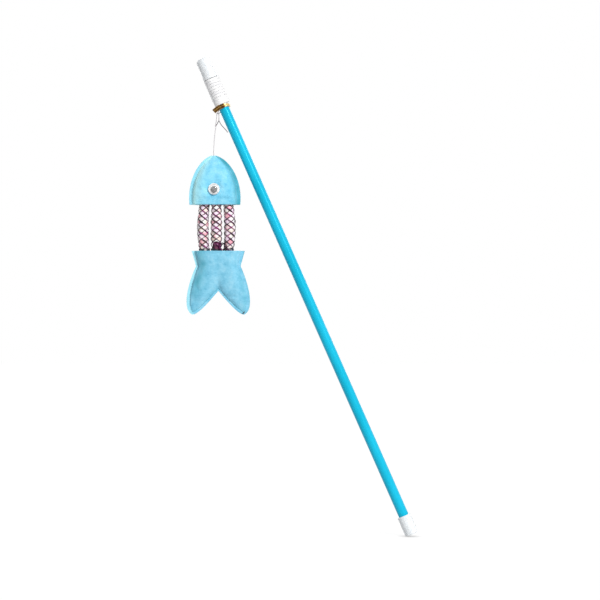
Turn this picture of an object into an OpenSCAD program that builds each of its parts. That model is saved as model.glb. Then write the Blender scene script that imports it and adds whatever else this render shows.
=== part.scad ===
// Cat teaser wand. A capped plastic tube leans as it is held in the hand. Its neck is
// wound with white cord, and a stuffed felt fish with a body of three net tubes hangs
// from it on a short nylon line.
// Millimetres. Origin: the grip point on the tube's axis. +Z is up, -Y is the front.

/* [Wand] */
// Length of the wand over both end caps
wand_len = 400; // [360:1:480]
// Lean of the wand from upright, in degrees
wand_lean = 23.8; // [20:0.1:30]
// Distance of the grip point from the wand's lower end
grip_up = 75; // [60:1:110]
// Outer diameter of the tube
tube_d = 8; // [7:0.1:10]
// Wall of the tube
tube_wall = 0.8; // [0.5:0.05:1.2]

/* [End caps] */
// Wall of the lower cap round the tube
cap_wall = 1.2; // [0.8:0.05:2]
// Wall of the upper cap round the tube
top_cap_wall = 1.5; // [0.8:0.05:2]
// Thickness of the closed end of both caps
cap_end = 3; // [2:0.1:5]
// Length of the lower cap
bottom_cap_len = 15.5; // [12:0.5:25]
// Length of the upper cap
top_cap_len = 17; // [12:0.5:25]
// Rounding of the lower cap's outer edge
bottom_round = 0.8; // [0.4:0.1:1.5]
// Rounding of the upper cap's outer edge
top_round = 3; // [1.5:0.1:4]
// Height of the lip round the upper cap's mouth
lip_h = 2.2; // [1.5:0.1:4]
// Thickness of this lip over the cap
lip_t = 0.4; // [0.2:0.05:0.6]

/* [Neck winding] */
// Length of the wound neck below the upper cap
neck_len = 21.7; // [21:0.1:30]
// Diameter of the white cord
wrap_d = 1.7; // [1.2:0.05:1.7]
// Turns of the white cord
wrap_turns = 9; // [6:0.5:9]
// Thickness of the white sleeve under the cord
sleeve_t = 0.4; // [0.2:0.05:0.5]

/* [Twist tie] */
// Width of the gold strip
tie_w = 3.6; // [3:0.1:5]
// Thickness of the gold strip
tie_t = 0.35; // [0.25:0.05:0.5]
// Width of the ridge that the wire core makes
tie_ridge_w = 1; // [0.7:0.05:1.3]
// Height of this ridge above the strip
tie_ridge_h = 0.35; // [0.2:0.05:0.5]
// Length of the strip's free end, from the middle of the wand's front
tie_end_len = 8.3; // [7:0.1:14]
// Gap between the winding and the strip
tie_gap = 1.1; // [1:0.1:3]

/* [Nylon line] */
// Diameter of the line
line_d = 0.6; // [0.5:0.05:0.8]
// Diameter of the knot that closes the loop
loop_knot_d = 1.5; // [1.2:0.1:1.8]
// Length of this knot
loop_knot_len = 1.7; // [1.4:0.1:1.8]
// Diameter of the knot inside the head
end_knot_d = 1.6; // [1.4:0.1:2]
// Length of the knot inside the head
end_knot_len = 1.4; // [1:0.1:1.8]

/* [Felt] */
// Thickness of the felt
felt_t = 1; // [0.8:0.05:1.4]
// Width of the flat seam along the felt's edge
seam_w = 3; // [2:0.1:3.5]

/* [Fish head] */
// Width of the head
head_w = 39.6; // [36:0.2:46]
// Height of the head
head_h = 38; // [35:0.5:44]
// Distance of the head's widest line from its tip
head_crown = 33; // [27:0.5:34]
// Thickness of the stuffed hollow of the head where it is thickest
head_puff = 14; // [12:0.5:18]
// Distance of the line to the left of the head's middle
line_off = 0.9; // [0:0.1:1.2]

/* [Net body] */
// Length of the net tubes between head and tail
net_len = 35.5; // [30:0.5:45]
// Diameter of a net tube at the middle
net_d = 9.2; // [8:0.1:9.4]
// Diameter of a net tube at its ends
net_end_d = 8; // [7.6:0.1:8.2]
// Spacing of the net tubes at the middle
net_spacing = 10.4; // [10.2:0.1:12]
// Spacing of the net tubes at their ends
net_end_spacing = 9.2; // [8.8:0.1:9.8]
// Wall of the net
net_t = 0.5; // [0.35:0.05:0.6]
// Length of each net end inside the felt
net_in = 2.8; // [2:0.1:3.5]
// Meshes round a net tube
net_around = 5; // [4:1:6]
// Rows of meshes along a net tube
net_rows = 13; // [8:1:13]

/* [Tail] */
// Width of the tail over its fins
tail_w = 48.6; // [42:0.2:56]
// Height of the tail
tail_h = 49; // [44:0.5:56]

/* [Eyes] */
// Diameter of an eye
eye_d = 8.7; // [8:0.1:10]
// Diameter of the black pupil
pupil_d = 5; // [4:0.1:5]
// Height of the clear dome
eye_dome_h = 2.4; // [2:0.1:3.5]
// Distance of the eyes below the head's tip
eye_down = 26.2; // [24:0.1:28]
// Distance of the eyes to the right of the head's middle
eye_over = -0.3; // [-1:0.1:2]

/* [Bell] */
// Diameter of the bell
bell_d = 6.2; // [5.6:0.1:6.2]
// Wall of the bell
bell_wall = 0.5; // [0.4:0.05:0.6]
// Diameter of the loose pellet in the bell
pellet_d = 2; // [1.6:0.1:2.2]
// Height of the bell's centre above the tail's top edge
bell_up = 4.4; // [4:0.1:8]

/* [Hidden] */
$fn = 64;

// Radial play of a pushed-on cap, and of cord wound on the tube
snug = 0.05;
// Cuts run past a face by this much
overrun = 1;
tube_r = tube_d / 2;
top_cap_r = tube_r + snug + top_cap_wall;
wand_top = wand_len - grip_up;
cap_rim = wand_top - top_cap_len;
neck_end = cap_rim - neck_len;

// The cord of the neck winds over its sleeve, from under the upper cap down to the tie
wrap_pitch = (neck_len - wrap_d - 2 * snug) / wrap_turns;
sleeve_r = tube_r + snug + sleeve_t;
wrap_r = sleeve_r + snug + wrap_d / 2;
wrap_steps = 16;
wrap_sides = 6;

// The strip of the tie runs round the line's turns on the tube
tie_line_gap = 0.12;
tie_mid = neck_end - tie_gap - tie_w / 2;
tie_r = tube_r + snug + line_d + tie_line_gap + tie_t / 2;
tie_steps = 24;
tie_sides = 8;
// Angle at which the wrapped end of the strip stops, seen from the wand's tip
tie_stop = 300;
// Height of the strip's middle at the free end, front, right, back and left, as shares
// of its width
tie_height_shares = [0, 0.42, 0.08, 0.03, 0.3];

// The line's turns under the tie end in a nose on the left, from which the loop hangs
hitch_r = tube_r + snug + line_d / 2;
hitch_nose = 1.8;
hitch_pitch = 2.2;
hitch_below = 2.3;
hitch_before_turns = 1.75;
hitch_after_turns = 0.25;
hitch_steps = 24;
hitch_top = tie_mid - hitch_below + hitch_pitch * hitch_before_turns + line_d / 2;
line_sides = 8;
line_exit = wand_point(-hitch_r - hitch_nose, tie_mid - hitch_below);
// Radius of the bend with which the loop hooks over the nose
hook_gap = 0.15;
hook_r = line_d + hook_gap;
hook_step = 30;

// Routes of the line, from its exit at the hitch
loop_up_route = [[-1.6, 0, -8.1], [-1.45, 0, -6.9], [-1.25, 0, -5.5], [-1.05, 0, -4.2],
    [-0.9, 0, -2.8], [-0.8, 0, -1.4]];
loop_down_route = [[0.8, 0, -1.4], [0.85, 0, -2.8], [0.85, 0, -4.2], [0.65, 0, -5.4],
    [0.2, 0, -6.4], [-0.4, 0, -7.3], [-0.85, 0, -8.1]];
loop_knot_at = [-1.5, 0, -9];
line_tail_route = [[-0.8, -0.75, -8.4], [-0.2, -0.9, -7.2], [0.4, -1, -6.1],
    [0.9, -1.1, -5.5], [1.4, -1.5, -6.2], [2.1, -2.1, -7.6], [3, -2.7, -9],
    [4, -3.3, -10.2], [5, -3.9, -11.3], [6, -4.4, -12.4], [7, -4.8, -13.6]];
hang_route = [[-1.75, 0, -10.4], [-1.9, 0, -12], [-2.1, 0, -13.6], [-2.3, 0, -15.2],
    [-2.45, 0, -16.8], [-2.6, 0, -18.4], [-2.75, 0, -20], [-2.85, 0, -21.6],
    [-2.95, 0, -23.2], [-3.05, 0, -24.8], [-3.1, 0, -26.4], [-3.15, 0, -28],
    [-3.2, 0, -29.6], [-3.2, 0, -31], [-3.2, 0, -32.5], [-3.2, 0, -34], [-3.2, 0, -35.6]];
// The line enters the head this far above its own lower end
line_in = 3.6;
line_bore_gap = 0.25;
line_low = line_exit + hang_route[len(hang_route) - 1];
line_in_at = line_low + [0, 0, line_in];
fish_at = line_in_at + [line_off, 0, 0];

// Felt shapes are grids of points with rows down and columns to the right
felt_cols = 8;
felt_rows = 8;
// Gap between the front and back felt along the seam
seam_gap = 0.2;
// Gap between the filling and the felt
fill_gap = 0.3;
// Power of the rounded cross-section of a stuffed piece
round_power = 3;
// Clear width between the nets and the felt that they are sewn into
mouth_gap = 0.9;
mouth_puff = net_end_d + 2 * mouth_gap;
head_r = head_w / 2;
// The head is a pointed ellipse from just below its tip to the mouth
tip_angle = 7;
tip_power = 1.17;
// The tip leans over to the line, and the lean fades with this power
lean_power = 2.5;
mouth_angle = acos((head_crown - head_h) / head_crown);
// The head swells from its tip with this power and is thickest at this share of its height
swell_power = 0.7;
head_full_share = 0.67;
// The fillings span these rows of the felt, and this share of its hollow's width
head_fill_rows = [3, 7];
tail_fill_rows = [1, 6];
fill_width_share = 0.97;

net_steps_end = net_rows + 1;
// Share of each mesh that is open
net_open_share = 0.75;
// The nets hang this far right of the head's middle, and the tail further
net_over = 1.2;
tail_over = 2.65;

tail_r = tail_w / 2;
tail_at = fish_at + [tail_over, 0, -head_h - net_len];
// Outline of half the tail, as shares of its half width and its height
tail_top_share = 0.84;
tail_side_shares = [[0.69, 0.24], [0.89, 0.435], [1.2, 0.9], [0.83, 1]];
tail_foot_shares = [[0.83, 1], [0.64, 1.015], [0.207, 0.746], [0, 0.629]];
// Share of the tail's grid that is taken by the side seams and by the foot seam
tail_seam_share = 0.13;
tail_foot_seam_share = 0.06;
// Share of its thickness that the tail loses towards its foot
tail_thin_share = 0.45;

// An eye sits on the head's thickest line
eye_seat = 0.05;
eye_cup_t = 0.6;
eye_play = 0.15;
eye_dome_wall = 0.45;
eye_rim_w = 0.8;
eye_rim_t = 0.5;
pupil_t = 0.5;
eye_front = seam_gap / 2 + head_puff / 2 + felt_t + eye_seat;
eye_dome_r = eye_d / 2 - eye_rim_w;
pupil_drop = eye_dome_r - eye_dome_wall - eye_play - pupil_d / 2;

bell_slot = 0.8;
bell_hole = 1.4;
pellet_play = 0.1;
bell_at = fish_at + [net_over, 0, -head_h - net_len + bell_up];

thread_end_d = 1.3;
// Place of the thread's end on the tail, as shares of its half width and its height
thread_end_shares = [0.8, 0.975];

function unit(v) = v / norm(v);
function wand_point(across, along) = [
    across * cos(wand_lean) - along * sin(wand_lean),
    0,
    across * sin(wand_lean) + along * cos(wand_lean)
];

// Direction in which a list of points runs at point i
function run_at(p, i) = unit(p[min(i + 1, len(p) - 1)] - p[max(i - 1, 0)]);

// Rings of a round strand along points; side is a direction that it never follows
function strand_points(p, r, sides, side) = [
    for (i = [0 : len(p) - 1])
        let (t = run_at(p, i), a = unit(cross(side, t)), b = cross(t, a))
            for (k = [0 : sides - 1])
                p[i] + r * cos(360 * k / sides) * a + r * sin(360 * k / sides) * b
];

// Faces of a chain of rings, closed by a fan at each end
function ring_faces(rings, sides) = concat(
    [for (i = [0 : rings - 2], k = [0 : sides - 1], half = [0, 1])
        let (a = i * sides + k, b = i * sides + (k + 1) % sides)
            half == 0 ? [a, a + sides, b + sides] : [a, b + sides, b]],
    [for (k = [1 : sides - 2]) [0, k, k + 1]],
    [for (k = [1 : sides - 2]) let (z = (rings - 1) * sides) [z, z + k + 1, z + k]]
);

module strand(points, d, sides, side) {
    polyhedron(strand_points(points, d / 2, sides, side), ring_faces(len(points), sides));
}

// A closed slab between two grids of points, the first of them on the outside
module slab(outer, inner) {
    rows = len(outer);
    cols = len(outer[0]);
    size = rows * cols;
    points = concat([for (row = outer, p = row) p], [for (row = inner, p = row) p]);
    skin = [for (i = [0 : rows - 2], j = [0 : cols - 2], half = [0, 1])
        let (a = i * cols + j, b = a + 1, d = a + cols, c = d + 1)
            half == 0 ? [a, b, c] : [a, c, d]];
    ends = [for (j = [0 : cols - 2], end = [0, 1], half = [0, 1])
        let (low = end * (rows - 1) * cols + j, a = low + (end == 0 ? 1 : 0),
            b = low + (end == 0 ? 0 : 1))
            half == 0 ? [a, b, b + size] : [a, b + size, a + size]];
    sides = [for (i = [0 : rows - 2], end = [0, 1], half = [0, 1])
        let (low = i * cols + end * (cols - 1), a = low + (end == 0 ? 0 : cols),
            b = low + (end == 0 ? cols : 0))
            half == 0 ? [a, b, b + size] : [a, b + size, a + size]];
    back = [for (f = skin) [f[0] + size, f[2] + size, f[1] + size]];
    polyhedron(points, concat(skin, back, ends, sides));
}

module in_wand() {
    rotate([0, -wand_lean, 0]) children();
}

// A round bar along Z whose upper outer edge is rounded
module round_bar(r, h, edge) {
    rotate_extrude() {
        square([r - edge, h]);
        square([r, h - edge]);
        translate([r - edge, h - edge])
            intersection() {
                circle(edge);
                square(edge);
            }
    }
}

// A cap with its rim at the origin and its closed end up
module cap(wall, length, edge) {
    difference() {
        round_bar(tube_r + snug + wall, length, edge);
        translate([0, 0, -overrun])
            cylinder(r = tube_r + snug, h = length - cap_end + overrun);
    }
}

module tube() {
    color([0.05, 0.72, 0.86])
        in_wand()
            translate([0, 0, -grip_up + cap_end + snug])
                difference() {
                    length = wand_len - 2 * cap_end - 2 * snug;
                    cylinder(r = tube_r, h = length);
                    translate([0, 0, -overrun])
                        cylinder(r = tube_r - tube_wall, h = length + 2 * overrun);
                }
}

module bottom_cap() {
    color([0.95, 0.96, 0.97])
        in_wand()
            translate([0, 0, -grip_up + bottom_cap_len])
                mirror([0, 0, 1])
                    cap(cap_wall, bottom_cap_len, bottom_round);
}

module top_cap() {
    color([0.95, 0.96, 0.97])
        in_wand()
            translate([0, 0, cap_rim]) {
                cap(top_cap_wall, top_cap_len, top_round);
                rotate_extrude()
                    translate([top_cap_r - top_cap_wall / 2, 0])
                        square([top_cap_wall / 2 + lip_t, lip_h]);
            }
}

module neck_sleeve() {
    low = hitch_top + 2 * snug;
    color([0.95, 0.95, 0.96])
        in_wand()
            translate([0, 0, low])
                difference() {
                    cylinder(r = sleeve_r, h = cap_rim - snug - low);
                    translate([0, 0, -overrun])
                        cylinder(r = tube_r + snug, h = cap_rim - low + 2 * overrun);
                }
}

// Centre line of the winding, from its upper end; its ends run straight
wrap_coil = [
    for (i = [0 : wrap_turns * wrap_steps])
        let (a = 360 * i / wrap_steps)
            [wrap_r * cos(a), wrap_r * sin(a),
                cap_rim - snug - wrap_d / 2 - wrap_pitch * i / wrap_steps]
];
wrap_path = concat(
    [wrap_coil[0] - wrap_d * run_at(wrap_coil, 0)],
    wrap_coil,
    [wrap_coil[len(wrap_coil) - 1] + wrap_d * run_at(wrap_coil, len(wrap_coil) - 1)]
);
echo(least_gap_of_the_winding = min([
    for (i = [0 : len(wrap_path) - 1 - wrap_steps / 2])
        min([for (j = [i + wrap_steps / 2 : len(wrap_path) - 1])
            norm(wrap_path[i] - wrap_path[j])])
]) - wrap_d);

module neck_winding() {
    color([0.93, 0.93, 0.94])
        in_wand()
            strand(wrap_path, wrap_d, wrap_sides, [0, 0, 1]);
}

// Height of the tie's middle round the wand, smoothed between the named places
function tie_height(angle) =
    let (place = angle / 90, i = floor(place), part = place - i,
        from = tie_height_shares[1 + i], to = tie_height_shares[1 + (i + 1) % 4])
        tie_mid + tie_w * (from + (to - from) * (1 - cos(180 * part)) / 2);
// Middle of the strip and the way its face looks, along the free end and round the wand
tie_course = concat(
    [for (i = [0 : 5])
        let (part = 1 - i / 6)
            [[-part * tie_end_len, -tie_r,
                tie_mid + tie_w * (tie_height_shares[1]
                    + (tie_height_shares[0] - tie_height_shares[1]) * part * part)],
                [0, -1, 0]]],
    [for (a = [0 : 360 / tie_steps : tie_stop])
        [[tie_r * sin(a), -tie_r * cos(a), tie_height(a)], [sin(a), -cos(a), 0]]]
);
// Section of the strip, from edge to edge, with the ridge of its wire core outside
tie_section = [
    [-tie_w / 2, -tie_t / 2], [tie_w / 2, -tie_t / 2],
    [tie_w / 2, tie_t / 2], [tie_ridge_w / 2, tie_t / 2],
    [tie_ridge_w / 4, tie_t / 2 + tie_ridge_h], [-tie_ridge_w / 4, tie_t / 2 + tie_ridge_h],
    [-tie_ridge_w / 2, tie_t / 2], [-tie_w / 2, tie_t / 2]
];

module twist_tie() {
    middles = [for (c = tie_course) c[0]];
    points = [
        for (i = [0 : len(middles) - 1])
            let (t = run_at(middles, i), out = tie_course[i][1], up = unit(cross(out, t)),
                face = cross(t, up))
                for (s = tie_section)
                    middles[i] - s[0] * up + s[1] * face
    ];
    color([0.80, 0.58, 0.16])
        in_wand()
            polyhedron(points, ring_faces(len(middles), tie_sides));
}

// Distance of the hitch's line from the wand's axis, a part of a turn from the nose
function hitch_reach(turn) =
    hitch_r + (abs(turn) < 0.25 ? hitch_nose * pow(cos(360 * turn), 6) : 0);
hitch_path = [
    for (i = [-hitch_before_turns * hitch_steps : hitch_after_turns * hitch_steps])
        let (turn = i / hitch_steps, a = 180 + 360 * turn, r = hitch_reach(turn))
            [r * cos(a), r * sin(a), tie_mid - hitch_below - hitch_pitch * turn]
];

module line_hitch() {
    color([0.85, 0.87, 0.90])
        in_wand()
            strand(hitch_path, line_d, wrap_sides, [0, 0, 1]);
}

module line_loop() {
    hook = [for (a = [180 : -hook_step : 0]) [hook_r * cos(a), 0, hook_r * sin(a)]];
    color([0.85, 0.87, 0.90])
        translate(line_exit)
            strand(concat(loop_up_route, hook, loop_down_route), line_d, line_sides, [0, 1, 0]);
}

module loop_knot() {
    edge = line_d / 2;
    color([0.85, 0.87, 0.90])
        translate(line_exit + loop_knot_at)
            rotate_extrude() {
                translate([0, -loop_knot_len / 2])
                    square([loop_knot_d / 2 - edge, loop_knot_len]);
                for (level = [-1, 0, 1])
                    translate([loop_knot_d / 2 - edge, level * (loop_knot_len / 2 - edge)])
                        intersection() {
                            circle(edge);
                            translate([0, -edge])
                                square([edge, 2 * edge]);
                        }
            }
}

module line_tail() {
    color([0.85, 0.87, 0.90])
        translate(line_exit)
            strand(line_tail_route, line_d, line_sides, [0, 1, 0]);
}

module hang_line() {
    color([0.85, 0.87, 0.90])
        translate(line_exit)
            strand(hang_route, line_d, line_sides, [0, 1, 0]);
}

module end_knot() {
    color([0.85, 0.87, 0.90])
        translate(line_low - [0, 0, end_knot_len])
            cylinder(d = end_knot_d, h = end_knot_len);
}

// Half width and depth below the tip of the head's outline at an angle
function head_reach(angle) = head_r * pow(sin(angle), tip_power);
function head_depth(angle) = head_crown * (1 - cos(angle));
// Half thickness of the hollow on the head's middle line
function head_swell(depth) =
    let (part = (depth - seam_w) / (head_h - seam_w))
        part <= 0 ? 0
            : part < head_full_share
                ? head_puff / 2 * pow(sin(90 * part / head_full_share), swell_power)
                : mouth_puff / 2 + (head_puff - mouth_puff) / 2
                    * cos(90 * (part - head_full_share) / (1 - head_full_share));
// Rounded cross-section, from 1 in the middle to 0 at the seam
function roundness(across) = pow(max(0, 1 - pow(abs(across), round_power)), 1 / round_power);

// Columns of a felt panel: two in each seam, the rest on the stuffed middle
function column_across(j) = j == 0 ? -1 : j == felt_cols + 2 ? 1 : -cos(180 * (j - 1) / felt_cols);
function is_seam(j) = j == 0 || j == felt_cols + 2;
function head_angle(i) = tip_angle + (mouth_angle - tip_angle) * i / felt_rows;
function head_lean(i) = -line_off * pow(1 - i / felt_rows, lean_power);

// Places on the head's felt: across, half the thickness of the hollow, and down
head_spots = [
    for (i = [0 : felt_rows])
        let (angle = head_angle(i), reach = head_reach(angle), depth = head_depth(angle),
            middle = max(reach - seam_w, reach / 2))
            [for (j = [0 : felt_cols + 2])
                let (c = column_across(j), lean = head_lean(i))
                    is_seam(j) ? [lean + c * reach, 0, -depth]
                        : [lean + c * middle, head_swell(depth) * roundness(c), -depth]]
];
// The face of a front felt panel, this far out from its inner side
function felt_face(spots, out) = [
    for (row = spots)
        [for (p = row) [p[0], -seam_gap / 2 - out - p[1], p[2]]]
];
// One face of a filling, inside the felt's hollow
function fill_face(spots, rows, side) = [
    for (i = [rows[0] : rows[1]])
        [for (j = [2 : felt_cols])
            let (p = spots[i][j])
                [p[0] * fill_width_share, side * (p[1] - fill_gap), p[2]]]
];

module line_bore() {
    translate([-line_off, 0, -line_in])
        cylinder(d = line_d + 2 * line_bore_gap, h = line_in + overrun);
}

module head_front() {
    color([0.50, 0.80, 0.93])
        translate(fish_at)
            difference() {
                slab(felt_face(head_spots, felt_t), felt_face(head_spots, 0));
                line_bore();
            }
}

module head_back() {
    color([0.50, 0.80, 0.93])
        translate(fish_at)
            difference() {
                mirror([0, 1, 0])
                    slab(felt_face(head_spots, felt_t), felt_face(head_spots, 0));
                line_bore();
            }
}

module head_filling() {
    color([0.97, 0.97, 0.95])
        translate(fish_at)
            slab(fill_face(head_spots, head_fill_rows, -1),
                fill_face(head_spots, head_fill_rows, 1));
}

// An eye stands on the front of the head, with its own Z pointing outwards
module in_eye() {
    translate(fish_at + [eye_over, -eye_front, -eye_down])
        rotate([90, 0, 0])
            children();
}

module eye_cup_front() {
    color([0.96, 0.97, 0.98])
        in_eye()
            cylinder(d = eye_d, h = eye_cup_t);
}

module eye_cup_back() {
    mirror([0, 1, 0]) eye_cup_front();
}

// Half of a flattened dome's section, as wide as r and as high as h
module dome_section(r, h) {
    intersection() {
        ball = (r * r + h * h) / (2 * h);
        translate([0, h - ball])
            circle(ball);
        square([r, h]);
    }
}

module eye_dome_front() {
    color([0.85, 0.92, 0.97, 0.5])
        in_eye()
            translate([0, 0, eye_cup_t])
                rotate_extrude()
                    difference() {
                        union() {
                            square([eye_d / 2, eye_rim_t]);
                            translate([0, eye_rim_t])
                                dome_section(eye_dome_r, eye_dome_h - eye_rim_t);
                        }
                        square([eye_dome_r - eye_dome_wall, eye_rim_t]);
                        translate([0, eye_rim_t])
                            dome_section(eye_dome_r - eye_dome_wall,
                                eye_dome_h - eye_rim_t - eye_dome_wall);
                    }
}

module eye_dome_back() {
    mirror([0, 1, 0]) eye_dome_front();
}

module pupil_front() {
    color([0.08, 0.08, 0.09])
        in_eye()
            translate([0, -pupil_drop, eye_cup_t + eye_play])
                cylinder(d = pupil_d, h = pupil_t);
}

module pupil_back() {
    mirror([0, 1, 0]) pupil_front();
}

// A point on a net tube: place counts half meshes round it, level its rows of meshes
function net_point(which, place, level, depth) =
    let (part = level / net_steps_end, bow = sin(180 * part),
        r = (net_end_d + (net_d - net_end_d) * bow) / 2 - depth, a = 180 * place / net_around)
        [which * (net_end_spacing + (net_spacing - net_end_spacing) * bow) + r * cos(a),
            r * sin(a),
            net_len * part];
function net_end_point(which, place, end, depth) =
    net_point(which, place, end * net_steps_end, depth)
        + [0, 0, end == 0 ? -net_in : net_in];

// A net tube from the tail's edge up: rows of diamond meshes between two plain cuffs
module net_tube(which) {
    m = 2 * net_around;
    corners = [[0, -1], [-1, 0], [0, 1], [1, 0]];
    grid = m * (net_rows + 2);
    holes = 4 * net_around * net_rows;
    half = grid + holes + 2 * m;
    points = [
        for (depth = [0, net_t])
            each concat(
                [for (r = [0 : net_rows + 1], k = [0 : m - 1]) net_point(which, k, r, depth)],
                [for (r = [1 : net_rows], i = [0 : net_around - 1], q = corners)
                    net_point(which, 2 * i + r % 2 + net_open_share * q[0],
                        r + net_open_share * q[1], depth)],
                [for (end = [0, 1], k = [0 : m - 1]) net_end_point(which, k, end, depth)]
            )
    ];
    meshes = [
        for (r = [1 : net_rows], i = [0 : net_around - 1], q = [0 : 3])
            let (k = 2 * i + r % 2, first = grid + 4 * ((r - 1) * net_around + i),
                n = (q + 1) % 4)
                [(r + corners[q][1]) * m + (k + corners[q][0] + m) % m,
                    (r + corners[n][1]) * m + (k + corners[n][0] + m) % m,
                    first + n, first + q]
    ];
    edges = [
        for (end = [0, 1], k = [0 : m - 1])
            let (row = end * (net_rows + 1) * m, next = (end == 0 ? 1 : net_rows) * m,
                n = (k + 1) % m, tip = (k + (end == 0 ? 1 : net_rows)) % 2 == 1 ? k : n)
                end == 0 ? [row + k, next + tip, row + n] : [row + k, row + n, next + tip]
    ];
    cuffs = [
        for (end = [0, 1], k = [0 : m - 1])
            let (row = end * (net_rows + 1) * m, ring = grid + holes + end * m,
                n = (k + 1) % m)
                end == 0 ? [ring + k, row + k, row + n, ring + n]
                    : [row + k, ring + k, ring + n, row + n]
    ];
    walls = [for (f = meshes) [f[3], f[2], f[2] + half, f[3] + half]];
    rims = [
        for (end = [0, 1], k = [0 : m - 1])
            let (ring = grid + holes + end * m, n = (k + 1) % m,
                a = ring + (end == 0 ? k : n), b = ring + (end == 0 ? n : k))
                [a, b, b + half, a + half]
    ];
    outside = concat([for (f = concat(meshes, cuffs)) each split(f)], edges);
    inside = [for (f = outside) [f[0] + half, f[2] + half, f[1] + half]];
    translate(fish_at + [net_over, 0, -head_h - net_len])
        polyhedron(points, concat(outside, inside,
            [for (f = concat(walls, rims)) each split(f)]));
}
// A face with four corners as two triangles
function split(f) = [[f[0], f[1], f[2]], [f[0], f[2], f[3]]];

module net_left() {
    color([0.88, 0.72, 0.84]) net_tube(-1);
}

module net_middle() {
    color([0.90, 0.76, 0.80]) net_tube(0);
}

module net_right() {
    color([0.88, 0.72, 0.84]) net_tube(1);
}

// Point on a curve with four control points
function curve(c, t) =
    pow(1 - t, 3) * c[0] + 3 * t * pow(1 - t, 2) * c[1] + 3 * t * t * (1 - t) * c[2]
        + pow(t, 3) * c[3];
// Side outline of the tail in shares: straight to the waist, then along the curve
function tail_side(v) =
    let (waist = tail_side_shares[0], turn = waist[1])
        v < turn ? [tail_top_share + (waist[0] - tail_top_share) * v / turn, v]
            : curve(tail_side_shares, (v - turn) / (1 - turn));
// The tail's grid is stretched between its side, its foot and its middle line
function tail_place(across, down) =
    let (c = abs(across), foot = curve(tail_foot_shares, 1 - c), side = tail_side(down),
        notch = tail_foot_shares[3], tip = tail_foot_shares[0],
        x = down * foot[0] + c * side[0] + (1 - down) * c * tail_top_share
            - (1 - down) * c * tail_top_share - down * c * tip[0],
        z = down * foot[1] + (1 - c) * down * notch[1] + c * side[1]
            - down * (1 - c) * notch[1] - down * c * tip[1])
        [sign(across) * x * tail_r, -z * tail_h];
function tail_swell(across, down) =
    mouth_puff / 2 * (1 - tail_thin_share * down) * roundness(across)
        * sqrt(max(0, 1 - pow(down, round_power)));
function tail_row(i) = i > felt_rows ? 1 : (1 - tail_foot_seam_share) * sin(90 * i / felt_rows);

// Places on the tail's felt, as on the head's
tail_spots = [
    for (i = [0 : felt_rows + 1])
        [for (j = [0 : felt_cols + 2])
            let (c = column_across(j), across = is_seam(j) ? c : c * (1 - tail_seam_share),
                at = tail_place(across, tail_row(i)),
                swell = is_seam(j) || i > felt_rows ? 0
                    : tail_swell(c, tail_row(i) / (1 - tail_foot_seam_share)))
                [at[0], swell, at[1]]]
];

module tail_front() {
    color([0.46, 0.76, 0.91])
        translate(tail_at)
            slab(felt_face(tail_spots, felt_t), felt_face(tail_spots, 0));
}

module tail_back() {
    color([0.46, 0.76, 0.91])
        translate(tail_at)
            mirror([0, 1, 0])
                slab(felt_face(tail_spots, felt_t), felt_face(tail_spots, 0));
}

module tail_filling() {
    color([0.97, 0.97, 0.95])
        translate(tail_at)
            slab(fill_face(tail_spots, tail_fill_rows, -1),
                fill_face(tail_spots, tail_fill_rows, 1));
}

module thread_end() {
    color([0.10, 0.20, 0.24])
        translate(tail_at + [thread_end_shares[0] * tail_r,
            -seam_gap / 2 - felt_t - thread_end_d / 2 - snug,
            -thread_end_shares[1] * tail_h])
            sphere(d = thread_end_d);
}

module bell_shell() {
    color([0.36, 0.08, 0.26])
        translate(bell_at)
            difference() {
                sphere(d = bell_d);
                sphere(d = bell_d - 2 * bell_wall);
                translate([-bell_slot / 2, -bell_d, -bell_d])
                    cube([bell_slot, 2 * bell_d, bell_d - bell_hole]);
                rotate([90, 0, 0])
                    cylinder(d = bell_hole, h = 2 * bell_d, center = true);
            }
}

module bell_pellet() {
    color([0.55, 0.55, 0.58])
        translate(bell_at - [0, 0, bell_d / 2 - bell_wall - pellet_play - pellet_d / 2])
            sphere(d = pellet_d);
}

echo(line_exit = line_exit, loop_knot_at = line_exit + loop_knot_at,
    line_in_at = line_in_at, fish_at = fish_at,
    net_middle_at = fish_at + [net_over, 0, -head_h - net_len / 2], bell_at = bell_at,
    eye_at = fish_at + [eye_over, -eye_front, -eye_down], tail_at = tail_at,
    pin_end = wand_point(0, -grip_up), pin_mouth = wand_point(0, -grip_up + bottom_cap_len));

tube();
bottom_cap();
top_cap();
neck_sleeve();
neck_winding();
twist_tie();
line_hitch();
line_loop();
loop_knot();
line_tail();
hang_line();
end_knot();
head_front();
head_back();
head_filling();
eye_cup_front();
eye_cup_back();
eye_dome_front();
eye_dome_back();
pupil_front();
pupil_back();
net_left();
net_middle();
net_right();
tail_front();
tail_back();
tail_filling();
thread_end();
bell_shell();
bell_pellet();
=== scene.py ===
import math
import random

import bpy
import numpy as np
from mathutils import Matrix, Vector, noise


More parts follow.
